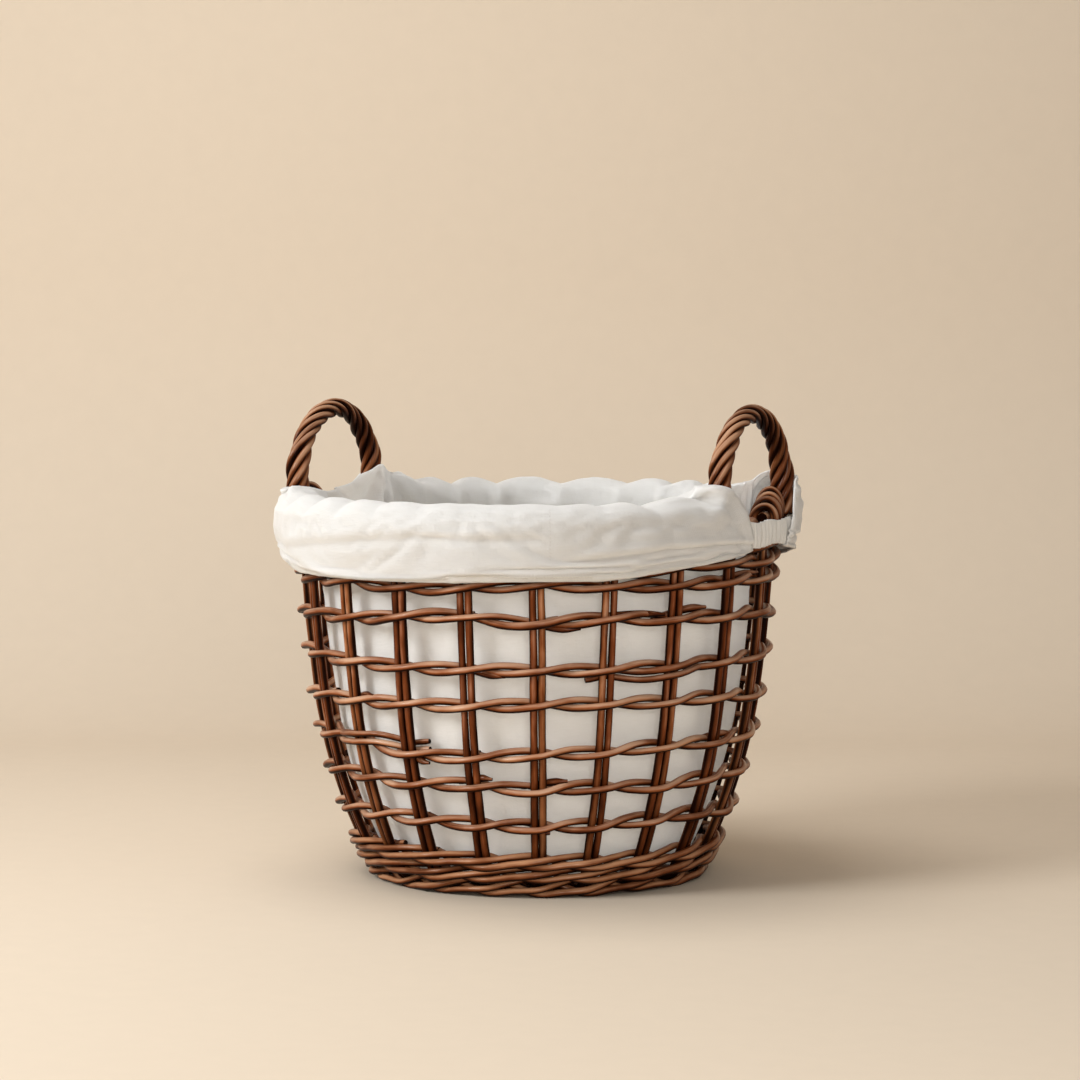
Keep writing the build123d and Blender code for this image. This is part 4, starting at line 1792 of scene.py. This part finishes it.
        pushed = self.leg_ease * np.logaddexp(0, (self.leg_front - radius) / self.leg_ease)
        out = radius + pushed * leg_window
        radius = radius + (out - radius) * smooth_step(share, 0.0, 0.14)
        radius = radius - self.plane_ease * np.logaddexp(0, (radius - flat - 0.001) / self.plane_ease)
        turned = np.where(self.right[at], aside, math.pi - aside)
        length = wall[-1, at, 3] + share * steps[-1]
        grid = round_points(radius, turned, height, length)
        grid[0] = wall[-1, at]
        return grid

    def sheet(self) -> ClothSheet:
        """The side of the bag before it settles.

        Returns:
            The sheet.
        """
        lift = self.fold_lift()
        wall = self.wall_grid(lift)
        half = self.columns // 2
        columns = [np.arange(half + self.slot_columns, self.columns - self.slot_columns + 1),
                   np.arange(self.slot_columns, half - self.slot_columns + 1)]
        cuffs = [self.cuff_grid(at, wall, lift) for at in columns]
        return ClothSheet(wall, cuffs, columns, TURN * self.fold_middle)

    def grip(self, sheet: ClothSheet) -> Array:
        """How firmly each vertex keeps its place while the cloth settles, from 0 to 1.

        Args:
            sheet: The sheet.

        Returns:
            A weight for each vertex.
        """
        points = sheet.points()
        weight = 1 - smooth_step(points[:, 2], *self.held_heights)
        numbers = sheet.indices()
        free = np.abs(self.aside) < self.slot
        weight[numbers[0][-1, free]] = 0.6
        for grid in numbers[1:]:
            weight[grid[-1]] = 1.0
            weight[grid[-2]] = 0.6
            weight[grid[1:, [0, -1]]] = 0.7
        return weight

    def rim_form(self) -> Piece:
        """Padded rim that the cloth settles on: the willow wall and the cloth bunched on its border.

        Returns:
            The form.
        """
        s = np.linspace(0.03, self.wall.length, 16)
        radius, height, lean = self.wall.at(s)
        half = self.form_half
        inner = np.stack((radius - half * np.cos(lean), height + half * np.sin(lean)), 1)
        outer = np.stack((radius + half * np.cos(lean), height - half * np.sin(lean)), 1)[::-1]
        turn = np.linspace(math.pi, 0, 14)[1:-1]
        wide, high = self.fold_half - self.form_inset, self.fold_rise - self.form_drop
        crown = np.stack((self.fold_middle - self.form_shift + wide * np.cos(turn),
                          self.fold_height + high * np.sin(turn)), 1)
        line = np.concatenate((inner[:-1], crown, self.form_side, outer[outer[:, 1] < self.form_break]))
        return self.lathe("rim_form", line, 96)

    @staticmethod
    def lathe(name: str, line: Array, segments: int) -> Piece:
        """Closed ring turned from a closed outline of radii and heights.

        Args:
            name: Name of the ring.
            line: The outline.
            segments: Count of steps round the axis.

        Returns:
            The ring.
        """
        angle = np.arange(segments) * TURN / segments
        grid = round_points(line[:, :1], angle, line[:, 1:])
        number = np.arange(grid.shape[0] * segments).reshape(-1, segments)
        around, on = np.roll(number, -1, 1), np.roll(number, -1, 0)
        quads = np.stack((number, on, np.roll(on, -1, 1), around), 2).reshape(-1, 4)
        mesh = bpy.data.meshes.new(name)
        mesh.from_pydata(grid.reshape(-1, 3).tolist(), [], quads.tolist())
        return link(name, mesh)

    def leg_form(self) -> Piece:
        """The four legs of the handles where they pass the liner.

        Returns:
            The form.
        """
        sides = 20
        angle = np.arange(sides) * TURN / sides
        points, faces = [], []
        for x in (-self.leg_place[0], self.leg_place[0]):
            for y in (-self.leg_place[1], self.leg_place[1]):
                start = len(points)
                for z in self.form_levels:
                    points += (round_points(self.leg_radius, angle, z) + (x, y, 0)).tolist()
                top = len(points) - sides
                for row in range(len(self.form_levels) - 1):
                    for k in range(sides):
                        a, b = start + row * sides + k, start + row * sides + (k + 1) % sides
                        faces.append((a, b, b + sides, a + sides))
                faces.append(tuple(range(start + sides - 1, start - 1, -1)))
                faces.append(tuple(range(top, top + sides)))
        mesh = bpy.data.meshes.new("leg_form")
        mesh.from_pydata(points, [], faces)
        return link("leg_form", mesh)

    def settle(self, sheet: ClothSheet) -> ClothSheet:
        """Let the sheet settle over the rim, with a little cloth to spare.

        Args:
            sheet: The sheet as it is sewn.

        Returns:
            The sheet at rest.
        """
        start = sheet.points()[:, :3]
        cloth = link("liner_settling", sheet.mesh("liner_settling"))
        held = cloth.vertex_groups.new(name="held")
        for number, weight in enumerate(self.grip(sheet)):
            held.add([number], float(weight), "REPLACE")
        forms = [self.rim_form(), self.leg_form()]
        for form in forms:
            form.modifiers.new("Collision", "COLLISION")
            form.collision.thickness_outer = self.form_skin
            form.collision.cloth_friction = self.form_grip
        modifier = cloth.modifiers.new("Cloth", "CLOTH")
        modifier.point_cache.frame_start = 1
        modifier.point_cache.frame_end = self.frames
        settings = {
            "quality": 7, "mass": 0.2, "air_damping": 4.0, "tension_stiffness": 14.0,
            "compression_stiffness": 10.0, "shear_stiffness": 5.0, "bending_stiffness": 0.8,
            "vertex_group_mass": "held", "pin_stiffness": 1.0, "shrink_min": -self.stretch,
        }
        for name, value in settings.items():
            setattr(modifier.settings, name, value)
        modifier.collision_settings.distance_min = self.cloth_gap
        scene = bpy.context.scene
        for number in range(1, self.frames + 1):
            scene.frame_set(number)
        depsgraph = bpy.context.evaluated_depsgraph_get()
        settled = cloth.evaluated_get(depsgraph)
        move = vertex_values(settled.to_mesh()).astype(float) - start
        settled.to_mesh_clear()
        reach = np.linalg.norm(move, axis=1, keepdims=True)
        log.info("liner settled by %.1f mm at most", 1000 * reach.max())
        move *= np.minimum(1, self.most_move / np.maximum(reach, 1e-9))
        for made in [cloth, *forms]:
            bpy.data.objects.remove(made)
        scene.frame_set(1)
        return sheet.moved(start + move)

    def crease_shift(self, angle: Array, rows: int) -> Array:
        """Long creases of a cuff, each with a soft lip above it.

        Args:
            angle: Angles of the cuff's columns, in degrees.
            rows: Count of its rows.

        Returns:
            Shift out of the cloth for each row and column.
        """
        share = np.linspace(0, 1, rows)[:, None]
        angle = np.where(angle < 180, 360 - angle, angle)
        shift = np.zeros((rows, len(angle)))
        for depth, width, line in self.creases:
            at, high = np.array(line).T
            fade = smooth_step(angle, at[0], at[0] + 9) * (1 - smooth_step(angle, at[-1] - 9, at[-1]))
            apart = (share - np.interp(angle, at, high)) / width
            shift += depth * fade * (0.8 * np.exp(-((apart + 1.6) / 1.6) ** 2) - np.exp(-apart ** 2))
        return shift

    def gathered(self, sheet: ClothSheet) -> ClothSheet:
        """Gather the settled cloth along its fold and crease its cuffs.

        Args:
            sheet: The settled sheet.

        Returns:
            The sheet with scallops along the fold, pleats below them and long creases in the cuffs.
        """
        columns = sheet.wall.shape[1]
        angle = np.arange(columns) * TURN / columns
        swing = wandering(self.rng, 17, 1.3, angle)
        size = 1 + wandering(self.rng, 11, 0.45, angle)
        size = size * smooth_step(np.abs(np.arcsin(np.sin(angle))), 0.9 * self.slot, 1.2 * self.slot)
        puff = np.abs(np.sin(self.scallops / 2 * angle + swing))
        lift = self.scallop_height * size * (puff - 0.64)
        pinch = size * (1 - puff) ** 1.6
        wall = sheet.wall.copy()
        below = wall[-1, :, 3] - wall[..., 3]
        wall[..., 2] += lift * np.exp(-(below / self.scallop_reach) ** 2)
        depth = self.wall_pleat * pinch * np.exp(-below / self.wall_pleat_reach)
        wall[..., :2] *= (1 - depth / np.hypot(wall[..., 0], wall[..., 1]))[..., None]
        cuffs = []
        for grid, at in zip(sheet.cuffs, sheet.columns):
            past = grid[..., 3] - grid[0, :, 3]
            shift = self.crease_shift(np.degrees(angle[at]), len(grid))
            pleat = self.cuff_pleat * pinch[at] * np.exp(-past / self.cuff_pleat_reach)
            shift = shift - pleat * smooth_step(past, 0.0, self.cuff_pleat_start)
            fine = grid.copy()
            fine[..., :3] = self.raised(grid, shift[..., None])
            fine[..., 2] += lift[at] * np.exp(-(past / self.scallop_reach) ** 2)
            fine[0] = wall[-1, at]
            cuffs.append(fine)
        return ClothSheet(wall, cuffs, sheet.columns, sheet.cloth_round)

    def pucker(self, mesh: Mesh, sheet: ClothSheet) -> None:
        """Move a mesh of the sheet along its normals into small puckers.

        Args:
            mesh: Mesh of the sheet.
            sheet: The sheet itself.
        """
        normal = vertex_values(mesh, "normal")
        points = sheet.points()
        turn = np.arctan2(points[:, 1], points[:, 0]) / TURN % 1
        numbers = sheet.indices()
        edge = points[numbers[0][-1], 3].max()
        last = max(points[grid[-1], 3].max() for grid in numbers[1:])
        up = points[:, 3] / last
        hem = smooth_step(points[:, 3], edge + 0.045, last) * (points[:, 3] > edge)
        crown = np.exp(-((points[:, 3] - edge) / 0.03) ** 2)
        fine, tiny = Ripples(self.rng, 110, 26), Ripples(self.rng, 190, 44)
        shift = (self.fine_pucker * fine.at(turn, up) * (0.3 + crown + 0.15 * hem)
                 + self.tiny_pucker * tiny.at(turn, up) * (0.3 + 0.6 * crown + 0.4 * hem))
        moved = points[:, :3] + normal * shift[:, None]
        mesh.vertices.foreach_set("co", moved.astype(np.float32).ravel())
        mesh.update()

    def strip(self, name: str, grid: Array, proud: float, thickness: float,
              u_step: float = 0.0) -> Piece:
        """Strip or panel of cloth, with points that meet joined.

        Args:
            name: Name of the piece.
            grid: The part's grid of points.
            proud: How far the strip's middle lies out of the sheet.
            thickness: Its thickness.
            u_step: Width of cloth from one column to the next, or 0 for a level panel.

        Returns:
            The strip.
        """
        places = self.raised(grid, proud) if proud else grid[..., :3]
        rows, columns = places.shape[:2]
        number = np.arange(rows * columns).reshape(rows, columns)
        quads = grid_quads(number)
        mesh = bpy.data.meshes.new(name)
        mesh.from_pydata(places.reshape(-1, 3).tolist(), [], quads.tolist())
        across = np.broadcast_to(np.arange(columns) * u_step, (rows, columns))
        flat = (np.stack((across, grid[..., 3]), 2) if u_step else grid[..., :2]).reshape(-1, 2)
        layer = mesh.uv_layers.new(name="cloth")
        layer.data.foreach_set("uv", flat[quads.ravel()].astype(np.float32).ravel())
        mesh.polygons.foreach_set("use_smooth", np.ones(len(quads), bool))
        joined = bmesh.new()
        joined.from_mesh(mesh)
        bmesh.ops.remove_doubles(joined, verts=joined.verts[:], dist=1e-6)
        joined.to_mesh(mesh)
        joined.free()
        mesh.materials.append(self.trim)
        return thickened(name, mesh, thickness)

    @staticmethod
    def raised(grid: Array, proud: Array | float) -> Array:
        """Points of a cuff's grid moved out of its outer face.

        Args:
            grid: The cuff's grid.
            proud: Distance that each point moves.

        Returns:
            The moved points.
        """
        points = grid[..., :3]
        down, across = np.gradient(points, axis=0), np.gradient(points, axis=1)
        outward = np.cross(down, across)
        outward = outward / np.linalg.norm(outward, axis=2, keepdims=True)
        return points + outward * proud

    def stitch_piece(self, name: str, line: Array) -> Piece:
        """Row of stitches along a line of points."""
        return self.stitches.piece(name, chain_mesh(f"{name}_line", [line]), self.thread)

    def slot_band(self, name: str, middle: float) -> Piece:
        """Gathered band outside a handle, between the ends of the two cuffs.

        Args:
            name: Name of the piece.
            middle: Angle of the handle.

        Returns:
            The band.
        """
        columns, rows = 361, 13
        aside = np.linspace(-self.band_half, self.band_half, columns)[None, :]
        up = np.linspace(0, 1, rows)[:, None]
        arc = aside * self.band_radius
        turns = arc / self.band_pleat + 0.18 * np.sin(arc * 190) + 0.10 * np.sin(up * 5 + arc * 300)
        swell = 0.55 + 0.45 * np.sin(math.pi * np.clip(up, 0.04, 0.96)) ** 0.5
        rib = self.band_rib * np.abs(np.cos(math.pi * turns)) * swell
        radius = np.minimum(self.band_limit, self.band_plane / np.cos(aside)) + rib
        low = self.band_edges[0] + 0.0012 * np.sin(arc * 90)
        high = self.band_edges[1] + 0.0010 * np.sin(arc * 130 + 1)
        grid = round_points(radius, middle + aside, low + (high - low) * up, up * self.band_flat[1])
        step = 2 * self.band_half * self.band_radius / columns
        return self.strip(name, grid, 0.0, self.band_thickness, step)

    def bottom(self) -> Piece:
        """Round bottom panel.

        Returns:
            The panel.
        """
        rings, around = 14, 96
        radius = np.linspace(0, self.bottom_radius, rings)[:, None]
        angle = np.linspace(0, TURN, around + 1)[None, :]
        waves = Ripples(self.rng, 9, 5)
        level = self.bottom_top - self.cloth / 2 + 0.0003 * waves.at(angle / TURN, radius / 0.15)
        level = np.where(radius > 0, np.where(angle == TURN, level[:, :1], level), level[0, 0])
        grid = round_points(radius, angle, level, radius)
        return self.strip("cotton_liner_bottom", grid, 0.0, self.cloth * 0.9)

    def build(self) -> None:
        """Sew, settle and dress the whole liner."""
        sheet = self.gathered(self.settle(self.sheet()).refined())
        mesh = sheet.mesh("cotton_liner_side")
        self.pucker(mesh, sheet)
        mesh.materials.append(self.finish)
        sheet = sheet.moved(vertex_values(mesh).astype(float))
        side = thickened("cotton_liner_side", mesh, self.cloth)
        step = sheet.cloth_round / sheet.wall.shape[1]
        extras = []
        for name, cuff in zip(("front", "back"), sheet.cuffs):
            hem = cuff[-self.hem_rows:]
            extras.append(self.strip(f"cotton_{name}_hem", hem, self.hem_out, self.hem_thickness, step))
            line = self.raised(cuff, self.hem_stitch_out)[-self.hem_rows + 1]
            extras.append(self.stitch_piece(f"cotton_{name}_hem_stitches", line))
        front = sheet.cuffs[0]
        at = int(np.argmin(np.abs(sheet.columns[0] * TURN / sheet.wall.shape[1] - self.seam)))
        rows = slice(*self.seam_rows)
        seam = front[rows, at - 1:at + 1]
        extras.append(self.strip("cotton_front_seam", seam, self.seam_out, self.seam_thickness, step))
        line = self.raised(front, self.seam_stitch_out)[rows, at]
        extras.append(self.stitch_piece("cotton_front_seam_stitches", line))
        bands = {name: self.slot_band(f"cotton_{name}_slot_band", middle)
                 for name, middle in (("right", 0.0), ("left", math.pi))}
        bottom = self.bottom()
        settle_piece(side, Body.LINER, Slot.COTTON, "liner_wall", "liner_front_cuff", "liner_back_cuff")
        settle_piece(bottom, Body.LINER, Slot.COTTON, "liner_bottom")
        for name, band in bands.items():
            settle_piece(band, Body.LINER, Slot.COTTON, f"liner_{name}_slot_band")
        for piece in extras:
            settle_piece(piece, Body.LINER, Slot.COTTON)


@dataclass(frozen=True)
class Lamp:
    """Square soft light, placed by its distances to the right of the camera's view, away from it and up."""

    name: str
    place: tuple[float, float, float]
    size: float
    power: float
    colour: Colour


@dataclass
class Studio:
    """Plain backdrop, soft lights and the camera."""

    distance: float = 3.462
    height: float = 0.563
    azimuth: float = math.radians(27)
    pitch: float = math.radians(3.9)
    focal_pixels: float = 3538.0
    frame_pixels: float = 1080.0
    axis_pixel: float = 537.0
    sensor: float = 36.0
    sweep_depth: float = 1.0
    sweep_bend: float = 0.6
    half_width: float = 5.0
    top: float = 4.0
    near: float = 6.0
    lamps: tuple[Lamp, ...] = (
        Lamp("key", (-2.2, -1.3, 1.4), 1.0, 51.0, (0.98, 1.0, 1.015)),
        Lamp("top", (-0.5, 0.0, 2.2), 1.2, 17.0, (1.0, 0.985, 0.965)),
        Lamp("fill", (0.3, -2.7, 0.7), 1.0, 23.0, (1.0, 0.96, 0.91)),
    )
    aim_height: float = 0.22
    surround: Colour = (0.70, 0.57, 0.42)
    ambient: Colour = (1.0, 0.965, 0.925)
    ambient_strength: float = 0.26

    def towards(self, right: float, back: float, up: float) -> Vector:
        """Point in the frame from distances to the right of the camera's view, away from it and up."""
        c, s = math.cos(self.azimuth), math.sin(self.azimuth)
        return Vector((right * c - back * s, right * s + back * c, up))

    def backdrop(self) -> None:
        """Floor that sweeps up into a wall behind the basket."""
        turn = np.linspace(0, math.pi / 2, 16)
        swept = self.sweep_depth + self.sweep_bend * np.sin(turn)
        back = [-self.near, *swept, self.sweep_depth + self.sweep_bend]
        up = [0.0, *(self.sweep_bend * (1 - np.cos(turn))), self.top]
        sides = (-self.half_width, self.half_width)
        points = [self.towards(side, b, z) for b, z in zip(back, up) for side in sides]
        faces = [(2 * i, 2 * i + 1, 2 * i + 3, 2 * i + 2) for i in range(len(back) - 1)]
        mesh = bpy.data.meshes.new("backdrop")
        mesh.from_pydata(points, [], faces)
        mesh.polygons.foreach_set("use_smooth", [True] * len(faces))
        paper = link("backdrop", mesh)
        mesh.materials.append(StageFinish().build())

    def put_up(self, lamp: Lamp) -> None:
        """Put up a light that faces the basket.

        Args:
            lamp: The light.
        """
        light = bpy.data.lights.new(lamp.name, "AREA")
        light.size = lamp.size
        light.energy = lamp.power
        light.color = lamp.colour
        place = self.towards(*lamp.place)
        aim = Vector((0, 0, self.aim_height))
        made = bpy.data.objects.new(lamp.name, light)
        made.location = place
        made.rotation_euler = (aim - place).to_track_quat("-Z", "Y").to_euler()
        bpy.context.scene.collection.objects.link(made)

    def lights(self) -> None:
        """Soft key from the front left, weaker lights from above and in front, and an even surround."""
        for lamp in self.lamps:
            self.put_up(lamp)
        world = bpy.data.worlds.new("surround")
        world.use_nodes = True
        graph = Graph(world.node_tree)
        shade = world.node_tree.nodes["Background"]
        graph.feed(shade, {0: (*self.ambient, 1), 1: self.ambient_strength})
        seen = graph.out("ShaderNodeBackground", {0: (*self.surround, 1), 1: 1.0})
        looked_at = graph.add("ShaderNodeLightPath").outputs["Is Camera Ray"]
        both = graph.out("ShaderNodeMixShader", {0: looked_at, 1: shade.outputs[0], 2: seen})
        graph.feed(world.node_tree.nodes["World Output"], {"Surface": both})
        bpy.context.scene.world = world

    def camera(self) -> None:
        """Camera at the photograph's viewing angle."""
        lens = bpy.data.cameras.new("camera")
        lens.sensor_width = self.sensor
        lens.lens = self.focal_pixels / self.frame_pixels * self.sensor
        lens.clip_end = 100.0
        made = bpy.data.objects.new("camera", lens)
        made.location = self.towards(0, -self.distance, self.height)
        aside = math.atan((self.frame_pixels / 2 - self.axis_pixel) / self.focal_pixels)
        made.rotation_euler = (math.pi / 2 - self.pitch, 0, self.azimuth - aside)
        bpy.context.scene.collection.objects.link(made)
        bpy.context.scene.camera = made

    def build(self) -> None:
        """Set the whole studio."""
        self.backdrop()
        self.lights()
        self.camera()
        bpy.context.scene.view_settings.view_transform = "Standard"


# A fourth colour, where given, is the finish's painted highlight; the first three are the stain's own
# colours.
WILLOW = {
    Slot.STAKE: WillowFinish(
        "stake_willow", (0.052, 0.009, 0.0016), (0.23, 0.054, 0.0110), (0.47, 0.19, 0.072)),
    Slot.WEAVER: WillowFinish(
        "weaver_willow", (0.062, 0.012, 0.0022), (0.29, 0.075, 0.0175), (0.56, 0.27, 0.13)),
    Slot.BASE: WillowFinish(
        "base_willow", (0.060, 0.013, 0.003), (0.25, 0.070, 0.018), (0.44, 0.20, 0.085), painted_light_up_share=0.0),
    Slot.HANDLE: WillowFinish(
        "handle_willow", (0.042, 0.009, 0.0020), (0.165, 0.042, 0.0105), (0.35, 0.14, 0.053),
        (0.52, 0.30, 0.18)),
}
# The fourth colour is the wale's painted highlight.
WALE_WILLOW = WillowFinish(
    "wale_willow", (0.034, 0.0065, 0.0014), (0.18, 0.044, 0.0105), (0.42, 0.175, 0.074),
    (0.54, 0.285, 0.155), painted_light_up_share=0.46)
COTTON = CottonFinish("liner_cotton", (0.85, 0.836, 0.80), (0.81, 0.785, 0.735))
TRIM = CottonFinish("liner_trim", (0.80, 0.785, 0.75), (0.76, 0.74, 0.69), glow=0.3)
THREAD = CottonFinish("liner_thread", (0.80, 0.77, 0.72), (0.76, 0.73, 0.67), bump=0.2, glow=0.3)


def main() -> None:
    """Build the basket, its liner and the studio over the frame."""
    logging.basicConfig(level=logging.INFO, format="%(message)s")
    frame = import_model()
    grain = willow_grain_group()
    finishes = {slot: finish.build(grain) for slot, finish in WILLOW.items()}
    tree = RodTree()
    pairs = sum(name.startswith("stake_pair_") for name in frame["nodes"])
    basketwork = Basketwork(Lattice(WallLine(), pairs), tree, finishes, WALE_WILLOW.build(grain))
    basketwork.stakes()
    basketwork.rows()
    basketwork.wales()
    basketwork.border()
    Base(basketwork).build()
    for side, name in ((1.0, "right"), (-1.0, "left")):
        Handle(side, name, tree, finishes[Slot.HANDLE]).build()
    weave = cotton_weave_group()
    cottons = [finish.build(weave) for finish in (COTTON, TRIM, THREAD)]
    Liner(WallLine(), *cottons, StitchTree()).build()
    Studio().build()


if __name__ == "__main__":
    main()
